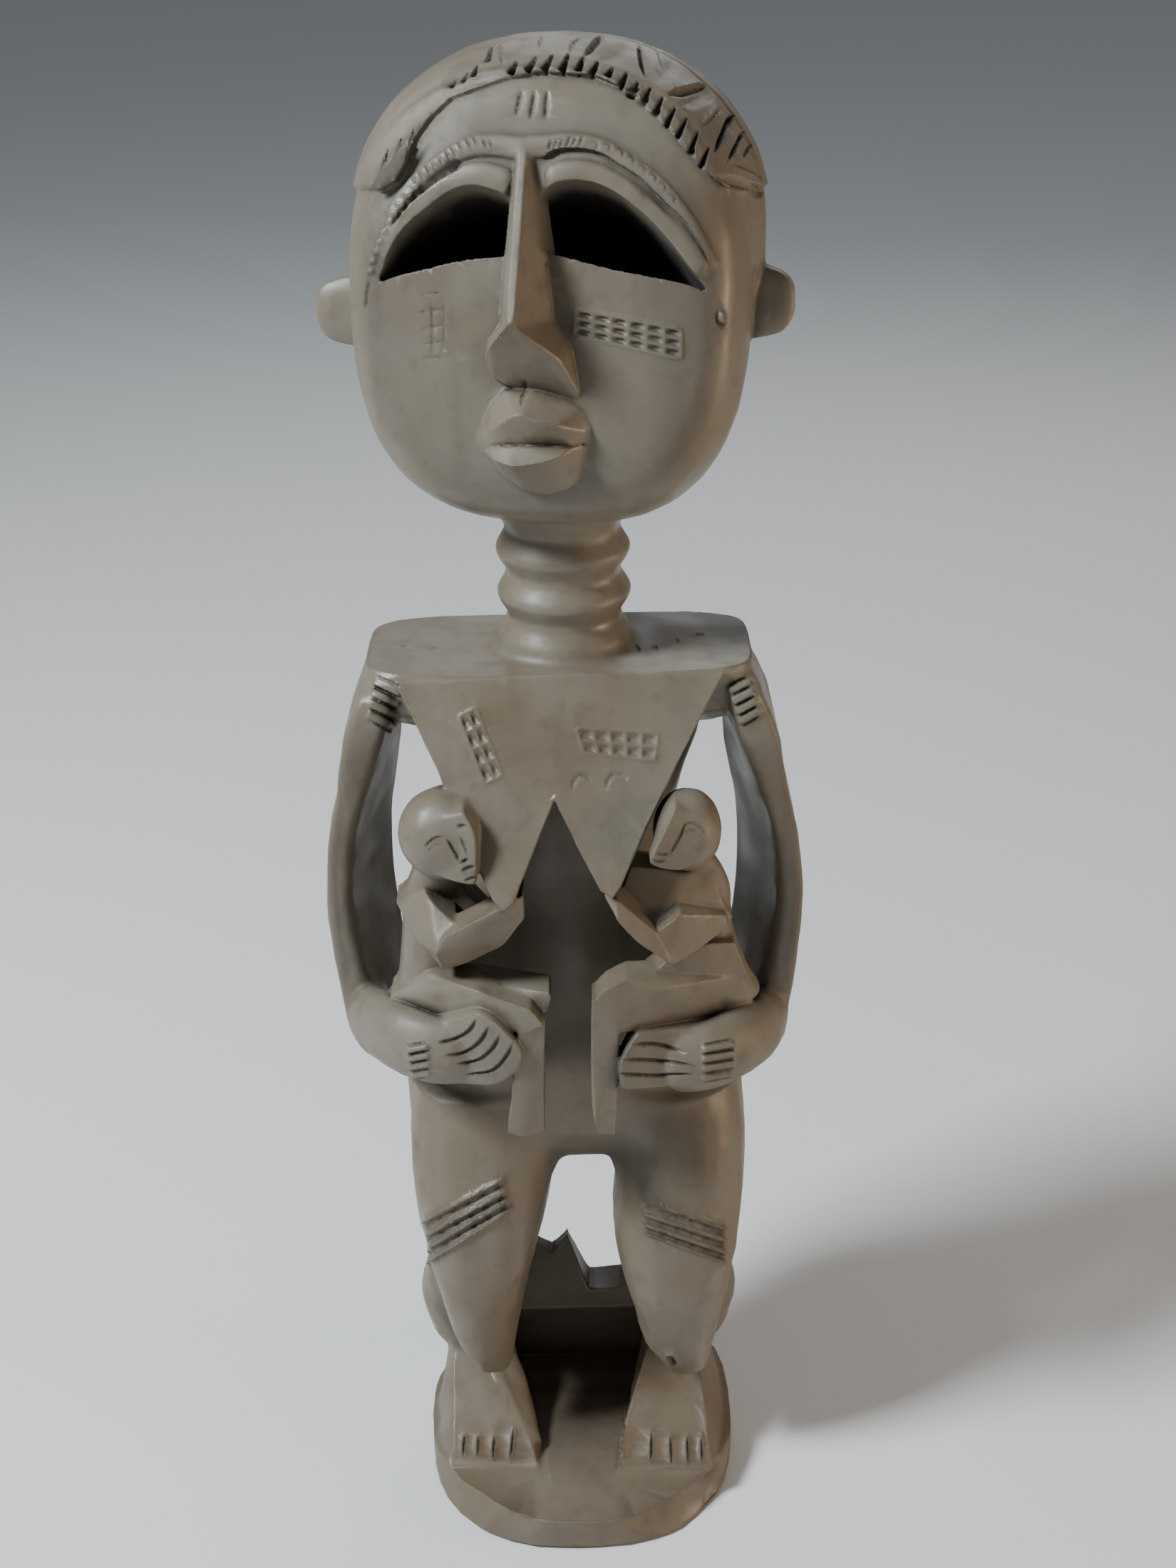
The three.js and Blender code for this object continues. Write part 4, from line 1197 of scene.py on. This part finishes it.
# Short cuts across the brows: the line they start from, how many there are, and how far each runs
BROW_HATCHES = [
    ([(694, 213), (676, 208), (655, 213), (634, 226), (614, 240), (598, 252), (586, 262)], 12, (-9, -17)),
    ([(768, 212), (790, 208), (812, 206)], 6, (7, -16)),
]
CURLS = [(832, 204), (850, 207), (868, 214), (884, 225), (900, 238), (915, 250), (928, 263), (941, 279)]
CURL_RADIUS = 7
CURL_TURN = (-2.6, 1.6)
CURL_POINTS = 8
STRING_BEADS = [
    (583, 262), (573, 273), (562, 287), (553, 299), (546, 311), (539, 325), (533, 339), (528, 352),
    (523, 366), (520, 380),
]
STRING_END = [(518, 392), (514, 415), (512, 440)]
PHILTRUM = [(738, 533), (737, 548), (732, 560), (730, 571)]
# The bead before the ear at +X and the cut round it
EAR_BEAD = [(1013, 444), (1014, 450)]
ROUND_EAR_BEAD = [(1007, 436), (1006, 448), (1012, 456), (1020, 452)]


def brow_details():
    for line in BROW_GROOVES:
        groove(line, **BROW_CUT)
    groove(PHILTRUM, width=1.2, depth=0.9)
    for line, count, run in BROW_HATCHES:
        starts = along(line, step=2.0)
        for start in starts[np.linspace(0, len(starts) - 1, count).astype(int)]:
            groove([start, start + run], **HATCH_CUT)
    turns = np.linspace(*CURL_TURN, CURL_POINTS)
    ring = CURL_RADIUS * np.column_stack([np.cos(turns), np.sin(turns)])
    for middle in CURLS:
        groove(middle + ring, **CURL_CUT)
    for x, y in STRING_BEADS:
        bead([(x - 2, y + 1), (x + 2, y - 1)], width=2.0, height=0.9, taper=0)
    groove(STRING_END, width=1.8, depth=1.0)
    bead(EAR_BEAD, width=2.4, height=1.5, taper=0)
    groove(ROUND_EAR_BEAD, width=0.8, depth=0.7)


# Forehead and cheeks. The grid is given as four corners, columns, rows and the width of its sunk cells.
NET_BAR = {"width": 1.1, "height": 0.55, "taper": 0.02}
FOREHEAD_CUTS = [[(732, 126), (724, 162)], [(751, 127), (744, 167)], [(768, 127), (765, 167)]]
# A ladder on the cheek at -X: the rungs' outer and inner pixel Y, and the pixel X of its three posts
LADDER_RUNGS = [(414, 411), (438, 434), (462, 457), (484, 480), (504, 501)]
LADDER_POSTS = (588, 606, 623)
POST_TOP, POST_FOOT = 414, 502
CHEEK_GRID = ([(808, 434), (956, 462), (956, 504), (806, 470)], 6, 3, 2.4)


def net(corners, columns, rows, cell_width, depth):
    """Rows of sunk cells with a raised net between them."""
    for row in range(rows):
        for cell in range(columns):
            start, stop = (cell + 0.13) / columns, (cell + 0.87) / columns
            groove(across_quad(corners, (row + 0.5) / rows, start, stop), cell_width, depth, taper=0.1)
    for row in range(rows + 1):
        bead(across_quad(corners, row / rows), **NET_BAR)
    for column_at in range(columns + 1):
        bead([quad_spot(corners, column_at / columns, down) for down in (0, 1)], **NET_BAR)


def face_marks():
    for line in FOREHEAD_CUTS:
        groove(line, width=1.7, depth=1.1)
    left, middle, right = LADDER_POSTS
    for outer, inner in LADDER_RUNGS:
        groove([(left, outer), (right, inner)], width=0.9, depth=0.7, grow=(0.6, 1.2))
    for x in (middle, right):
        groove([(x, POST_TOP), (x + 1, POST_FOOT)], width=0.9, depth=0.6)
    net(*CHEEK_GRID, depth=0.8)


# Marks on the body. Grids are given as four corners, columns, rows and the width of their sunk cells.
CHEST_GRIDS = [
    ([(643, 1005), (668, 993), (706, 1088), (680, 1100)], 2, 4, 3.4),
    ([(808, 1021), (924, 1028), (919, 1068), (820, 1057)], 5, 2, 3.2),
]
CHEST_ARCS = [
    [(803, 1109), (806, 1096), (814, 1088), (824, 1089), (831, 1099)],
    [(850, 1107), (854, 1095), (862, 1087), (872, 1087), (879, 1095)],
]
SHOULDER_MARKS = [
    [(893, 902), (897, 914)], [(918, 900), (923, 912)], [(978, 884), (988, 890)], [(948, 892), (954, 902)],
    [(560, 905), (572, 902)], [(600, 908), (612, 905)],
]
# Four raised rails on each thigh, with dimples between them
RAIL = {"width": 1.7, "height": 1.3, "taper": 0.05}
DIMPLE = {"width": 2.0, "depth": 1.0, "taper": 0.1}
THIGH_RAILS = [
    [
        [(586, 1719), (706, 1653)], [(588, 1739), (710, 1670)], [(592, 1756), (714, 1683)],
        [(597, 1773), (719, 1696)],
    ],
    [
        [(900, 1683), (1022, 1724)], [(900, 1702), (1022, 1741)], [(902, 1717), (1022, 1758)],
        [(904, 1730), (1020, 1773)],
    ],
]
RAIL_DIMPLES = 6
# A knot hole in the leg at +X
KNOT = [(940, 1908), (946, 1918)]


def body_marks():
    for grid in CHEST_GRIDS:
        net(*grid, depth=0.7)
    for line in CHEST_ARCS:
        groove(line, width=2.6, depth=0.8)
    for line in SHOULDER_MARKS:
        groove(line, width=1.3, depth=0.8)
    for rails in THIGH_RAILS:
        for rail in rails:
            bead(rail, **RAIL)
        for upper, lower in zip(rails, rails[1:]):
            corners = [upper[0], upper[1], lower[1], lower[0]]
            groove(across_quad(corners, 0.5), width=1.6, depth=0.5)
            for place in range(RAIL_DIMPLES):
                start, stop = (place + 0.15) / RAIL_DIMPLES, (place + 0.8) / RAIL_DIMPLES
                groove(across_quad(corners, 0.5, start, stop), **DIMPLE)
    for band in WRIST_BANDS + SHOULDER_BANDS:
        pads(*band)
    for line in FINGER_GAPS:
        groove(line, width=1.9, depth=1.7)
    for line in TOE_GAPS:
        groove(line, width=1.5, depth=1.5, taper=0.3)
    for width, depth, line in INFANT_CUTS:
        groove(line, width, depth)
    groove(KNOT, width=3.0, depth=2.5, taper=0)


hair_details()
brow_details()
face_marks()
body_marks()
carve()


# Surface: how much the mesh may stray from the grid, and how many triangles it may have
ADAPTIVITY = 0.01
MOST_TRIANGLES = 190000


def skin_of(field):
    """The wood's surface as corners in millimetres and triangles."""
    grid = openvdb.FloatGrid(background=FAR)
    grid.copyFromArray(np.clip(field, -3 * CELL, 3 * CELL))
    points, triangles, quads = grid.convertToPolygons(isovalue=0.0, adaptivity=ADAPTIVITY)
    halves = np.vstack([quads[:, [0, 1, 2]], quads[:, [0, 2, 3]]])
    faces = np.vstack([triangles.reshape(-1, 3), halves]).astype(np.int64)
    return points.astype(np.float64) * CELL + wood.low, faces[:, ::-1]


def make_mesh(name, corners, faces):
    mesh = bpy.data.meshes.new(name)
    mesh.vertices.add(len(corners))
    placed = (corners + [0, 0, BASE_THICKNESS]) * METRES
    mesh.vertices.foreach_set("co", placed.astype(np.float32).ravel())
    mesh.loops.add(3 * len(faces))
    mesh.loops.foreach_set("vertex_index", faces.astype(np.int32).ravel())
    mesh.polygons.add(len(faces))
    mesh.polygons.foreach_set("loop_start", np.arange(0, 3 * len(faces), 3, dtype=np.int32))
    mesh.polygons.foreach_set("use_smooth", np.ones(len(faces), bool))
    mesh.update(calc_edges=True)
    mesh.validate()
    obj = bpy.data.objects.new(name, mesh)
    bpy.context.collection.objects.link(obj)
    return obj


# Knife facets: the size of a scoop, its depth on the head and below the chin, and its stretch
KNIFE_CELL = 8.5
KNIFE_DEPTH = 0.45
KNIFE_DEPTH_BELOW = 1.2
KNIFE_STRETCH = (1, 1, 0.6)
CHIN_LEVEL = 312
# Small scoops lie everywhere
NICK_CELL = 3.1
NICK_DEPTH = 0.12
# The fine work is ahead of this Y, above this Z and within this X to either side
FINE_FRONT, FINE_FOOT, FINE_SIDE = -18, 145, 72
# How far out of the wood its neighbours are looked for, and how much each look counts
LOOKS = ((0.8, 0.3), (2.0, 0.35), (5.0, 0.35))


def scoops(points, cell, seed):
    """Shallow scoops that tile space: 0 in the middle of a scoop, up to 1 on the ridges between them."""
    place = points / cell
    home = np.floor(place).astype(np.int64)
    nearest = np.full(len(points), 9.0)
    for step in np.ndindex(3, 3, 3):
        at = home + step - 1
        middle = at + 0.15 + 0.7 * scatter(at, seed)
        nearest = np.minimum(nearest, ((place - middle) ** 2).sum(axis=1))
    return np.clip(nearest, 0, 1)


def scatter(at, seed):
    """Three numbers between 0 and 1 for each cell, always the same for the same cell."""
    total = at @ np.array([73856093, 19349663, 83492791]) + seed * 9176
    waves = [np.abs(np.sin(total * 0.0127 + turn) * 43758.5453) % 1 for turn in (0.1, 1.7, 3.9)]
    return np.column_stack(waves)


def knife_marks(points):
    """How far the knife's scoops sink the wood: less on the head, the chest, the hands and the infants."""
    x, y, z = points.T
    below = np.clip((CHIN_LEVEL - z) / 20, 0, 1)
    fine_work = np.clip((FINE_FRONT - y) / 10, 0, 1) * np.clip((z - FINE_FOOT) / 10, 0, 1)
    fine_work *= np.clip((FINE_SIDE - np.abs(x)) / 8, 0, 1)
    deepest = KNIFE_DEPTH + (KNIFE_DEPTH_BELOW - KNIFE_DEPTH) * below * (1 - fine_work)
    facets = deepest * (1 - scoops(points * KNIFE_STRETCH, KNIFE_CELL, seed=3))
    return facets + NICK_DEPTH * (1 - scoops(points, NICK_CELL, seed=5))


def hollowness(points, facing):
    """How deep a place lies between its neighbours: 0 in the open, 1 in a narrow cut."""
    total = np.zeros(len(points))
    for reach, weight in LOOKS:
        total += weight * np.clip(1 - wood.depth_at(points + reach * facing) / reach, 0, 1.2)
    return np.clip(total, 0, 1)


# In an eye, painted shade darkens the wood from a little behind the face's front, over a depth
EYE_START = 1.5
EYE_DARKENS = 7.0
NEAR_HOLLOW = 0.8


def eye_shade_depth(points):
    """How much painted shade the hollow of an eye gets: 0 on the face, up to 1 a little way in."""
    into = ((points - np.array(HEAD_ORIGIN)) @ HEAD_SPIN)[:, 1] - FACE_FRONT
    depth = np.clip((into - EYE_START) / EYE_DARKENS, 0, 1)
    x, y, z = points.astype(np.float32).T
    gaps = [distance(x, y, z) for low, high, distance in eye_hollows]
    return np.where(np.minimum(*gaps) < NEAR_HOLLOW, depth, 0)


def finish_surface(mesh):
    """Sinks the knife's marks into the mesh and stores how hollow each place is, or how deep in an eye, for
    the material's painted shade.
    """
    placed = np.zeros(3 * len(mesh.vertices), np.float32)
    mesh.vertices.foreach_get("co", placed)
    points = placed.reshape(-1, 3).astype(float) / METRES - [0, 0, BASE_THICKNESS]
    facing = wood.facing_at(points)
    hollow = hollowness(points, facing)
    # The stored value is painted by the material as shade in hollows and eyes
    stored = mesh.attributes.new("hollow", "FLOAT", "POINT")
    stored.data.foreach_set("value", np.maximum(hollow, eye_shade_depth(points)).astype(np.float32))
    points -= (knife_marks(points) * np.clip(1 - 2 * hollow, 0, 1))[:, None] * facing
    mesh.vertices.foreach_set("co", ((points + [0, 0, BASE_THICKNESS]) * METRES).astype(np.float32).ravel())
    mesh.update()


def keep_one_shell(mesh):
    """Removes loose crumbs: only what hangs together with the top of the head stays."""
    work = bmesh.new()
    work.from_mesh(mesh)
    top = max(work.verts, key=lambda corner: corner.co.z)
    joined, waiting_corners = {top}, [top]
    while waiting_corners:
        corner = waiting_corners.pop()
        for edge in corner.link_edges:
            other = edge.other_vert(corner)
            if other not in joined:
                joined.add(other)
                waiting_corners.append(other)
    crumbs = [corner for corner in work.verts if corner not in joined]
    bmesh.ops.delete(work, geom=crumbs, context="VERTS")
    work.to_mesh(mesh)
    work.free()


corners, faces = skin_of(wood.field)
figure = make_mesh("carved_wood", corners, faces)
thin = figure.modifiers.new("thin", "DECIMATE")
thin.ratio = min(1.0, MOST_TRIANGLES / len(faces))
bpy.context.view_layer.objects.active = figure
bpy.ops.object.modifier_apply(modifier="thin")
keep_one_shell(figure.data)
finish_surface(figure.data)


# Wood: its colours
PALE = (0.158, 0.137, 0.104, 1)
WARM = (0.116, 0.078, 0.043, 1)
# The near black below is painted shade for hollows and the insides of the eyes
PAINTED_SHADE = (0.012, 0.008, 0.005, 1)
GRIME = (0.040, 0.027, 0.016, 1)
# Scale, detail and stretch of each noise
BLOTCH_NOISE = (22, 4)
FINE_NOISE = (160, 4)
GRAIN_NOISE = (90, 3, (1, 1, 0.07))
WAX_NOISE = (40, 2)
# Where each mark sets in and where it is full. The range of the low mark is a height above the floor in
# metres, over which painted shade warms and darkens the lower part.
BLOTCH_RANGE = (0.38, 0.66)
LOW_SHADE_RANGE = (0.17, 0.0)
GRAIN_RANGE = (0.5, 0.75)
FINE_RANGE = (0.55, 0.8)
HOLLOW_SHADE_RANGE = (0.15, 0.95)
WAX_RANGE = (0.35, 0.7)
# How strongly each mark covers the wood
BLOTCH_SHARE, LOW_SHADE_SHARE, GRAIN_SHARE, FINE_SHARE = 0.55, 0.45, 0.22, 0.3
GLOSSY, MATT = 0.36, 0.62
HOLLOW_DULLS = 0.5
BUMP = {"Strength": 0.12, "Distance": 0.0006}
# The output of a mix node that gives a colour
MIXED_COLOUR = 2


class Nodes:
    """Adds nodes to a material and joins them."""

    def __init__(self, material):
        material.use_nodes = True
        self.tree = material.node_tree
        self.shader = self.tree.nodes["Principled BSDF"]

    def add(self, kind, **inputs):
        node = self.tree.nodes.new(kind)
        for name, value in inputs.items():
            self.join(value, node.inputs[name.replace("_", " ")])
        return node

    def join(self, value, socket):
        if isinstance(value, bpy.types.NodeSocket):
            self.tree.links.new(value, socket)
        else:
            socket.default_value = value

    def noise(self, coordinates, scale, detail=3.0, stretch=(1, 1, 1)):
        mapping = self.add("ShaderNodeMapping", Vector=coordinates, Scale=stretch)
        node = self.add("ShaderNodeTexNoise", Vector=mapping.outputs["Vector"], Scale=scale, Detail=detail)
        return node.outputs["Fac"]

    def ramp(self, value, low, high, least=0.0, most=1.0):
        node = self.add("ShaderNodeMapRange", Value=value)
        for name, setting in (("From Min", low), ("From Max", high), ("To Min", least), ("To Max", most)):
            node.inputs[name].default_value = setting
        return node.outputs["Result"]

    def mix(self, share, first, second):
        node = self.tree.nodes.new("ShaderNodeMix")
        node.data_type = "RGBA"
        self.join(share, node.inputs["Factor"])
        self.join(first, node.inputs["A"])
        self.join(second, node.inputs["B"])
        return node.outputs[MIXED_COLOUR]

    def math(self, operation, first, second):
        node = self.tree.nodes.new("ShaderNodeMath")
        node.operation = operation
        self.join(first, node.inputs[0])
        self.join(second, node.inputs[1])
        return node.outputs["Value"]


def wood_material():
    material = bpy.data.materials.new("patinated_wood")
    nodes = Nodes(material)
    place = nodes.add("ShaderNodeTexCoord").outputs["Object"]
    blotches = nodes.ramp(nodes.noise(place, *BLOTCH_NOISE), *BLOTCH_RANGE)
    fine = nodes.noise(place, *FINE_NOISE)
    grain = nodes.noise(place, *GRAIN_NOISE)
    height = nodes.add("ShaderNodeSeparateXYZ", Vector=place).outputs["Z"]
    colour = PALE
    for mark, share, covered_by in (
        (blotches, BLOTCH_SHARE, WARM),
        # The low mark is painted shade: the lower part is warmer and darker, as if the light fell off
        # downwards
        (nodes.ramp(height, *LOW_SHADE_RANGE), LOW_SHADE_SHARE, WARM),
        (nodes.ramp(grain, *GRAIN_RANGE), GRAIN_SHARE, GRIME),
        (nodes.ramp(fine, *FINE_RANGE), FINE_SHARE, GRIME),
    ):
        colour = nodes.mix(nodes.math("MULTIPLY", mark, share), colour, covered_by)
    # Painted shade: hollows and the insides of the eyes are darkened towards near black, as the shade that
    # falls in them
    hollow = nodes.add("ShaderNodeAttribute")
    hollow.attribute_name = "hollow"
    shade_share = nodes.ramp(hollow.outputs["Fac"], *HOLLOW_SHADE_RANGE)
    nodes.join(nodes.mix(shade_share, colour, PAINTED_SHADE), nodes.shader.inputs["Base Color"])
    wax = nodes.ramp(nodes.noise(place, *WAX_NOISE), *WAX_RANGE)
    roughness = nodes.ramp(wax, 0.0, 1.0, GLOSSY, MATT)
    dull = nodes.math("MULTIPLY", shade_share, HOLLOW_DULLS)
    nodes.join(nodes.math("ADD", roughness, dull), nodes.shader.inputs["Roughness"])
    bump = nodes.add("ShaderNodeBump", Height=nodes.math("ADD", fine, grain), **BUMP)
    nodes.join(bump.outputs["Normal"], nodes.shader.inputs["Normal"])
    return material


figure.data.materials.append(wood_material())
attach(figure, "root")
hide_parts("maternity_figure")


# Floor, light and camera, in metres
FLOOR_HALF = 6.0
FLOOR_COLOUR = (0.75, 0.75, 0.74, 1)
FLOOR_ROUGHNESS = 0.9
SKY_COLOUR = (0.8, 0.84, 0.9, 1)
SKY_STRENGTH = 0.2
# Each lamp's name, place, size, power and colour, and the place that all are aimed at
LAMPS = [
    ("key", (-1.0, -0.5, 1.3), 0.32, 42, (0.88, 0.96, 1)),
    ("fill", (1.3, -0.35, 0.3), 0.4, 9, (1, 0.74, 0.46)),
    ("back", (0.3, 1.2, 1.2), 1.0, 5, (0.9, 0.95, 1)),
]
LAMPS_AIM = Vector((0, 0, 0.25))


def studio():
    mesh = bpy.data.meshes.new("floor")
    square = [(FLOOR_HALF * x, FLOOR_HALF * y, 0) for x, y in ((-1, -1), (1, -1), (1, 1), (-1, 1))]
    mesh.from_pydata(square, [], [(0, 1, 2, 3)])
    floor = bpy.data.objects.new("floor", mesh)
    bpy.context.collection.objects.link(floor)
    material = bpy.data.materials.new("pale_floor")
    material.use_nodes = True
    shader = material.node_tree.nodes["Principled BSDF"]
    shader.inputs["Base Color"].default_value = FLOOR_COLOUR
    shader.inputs["Roughness"].default_value = FLOOR_ROUGHNESS
    mesh.materials.append(material)
    world = bpy.data.worlds.new("studio")
    world.use_nodes = True
    sky = world.node_tree.nodes["Background"]
    sky.inputs["Color"].default_value = SKY_COLOUR
    sky.inputs["Strength"].default_value = SKY_STRENGTH
    bpy.context.scene.world = world
    for name, place, size, power, colour in LAMPS:
        light = bpy.data.lights.new(name, "AREA")
        light.size = size
        light.energy = power
        light.color = colour
        lamp = bpy.data.objects.new(name, light)
        lamp.location = place
        lamp.rotation_euler = (LAMPS_AIM - Vector(place)).to_track_quat("-Z", "Y").to_euler()
        bpy.context.collection.objects.link(lamp)


def camera():
    right, upward, forward = camera_axes()
    data = bpy.data.cameras.new("photo_camera")
    data.sensor_fit = "AUTO"
    data.sensor_width = SENSOR
    data.lens = FOCAL_PIXELS / PHOTO_LONG_SIDE * SENSOR
    obj = bpy.data.objects.new("photo_camera", data)
    matrix = Matrix([[*row] for row in np.column_stack([right, upward, -forward])]).to_4x4()
    matrix.translation = Vector(CAMERA_PLACE * METRES)
    obj.matrix_world = matrix
    bpy.context.collection.objects.link(obj)
    bpy.context.scene.camera = obj


studio()
camera()
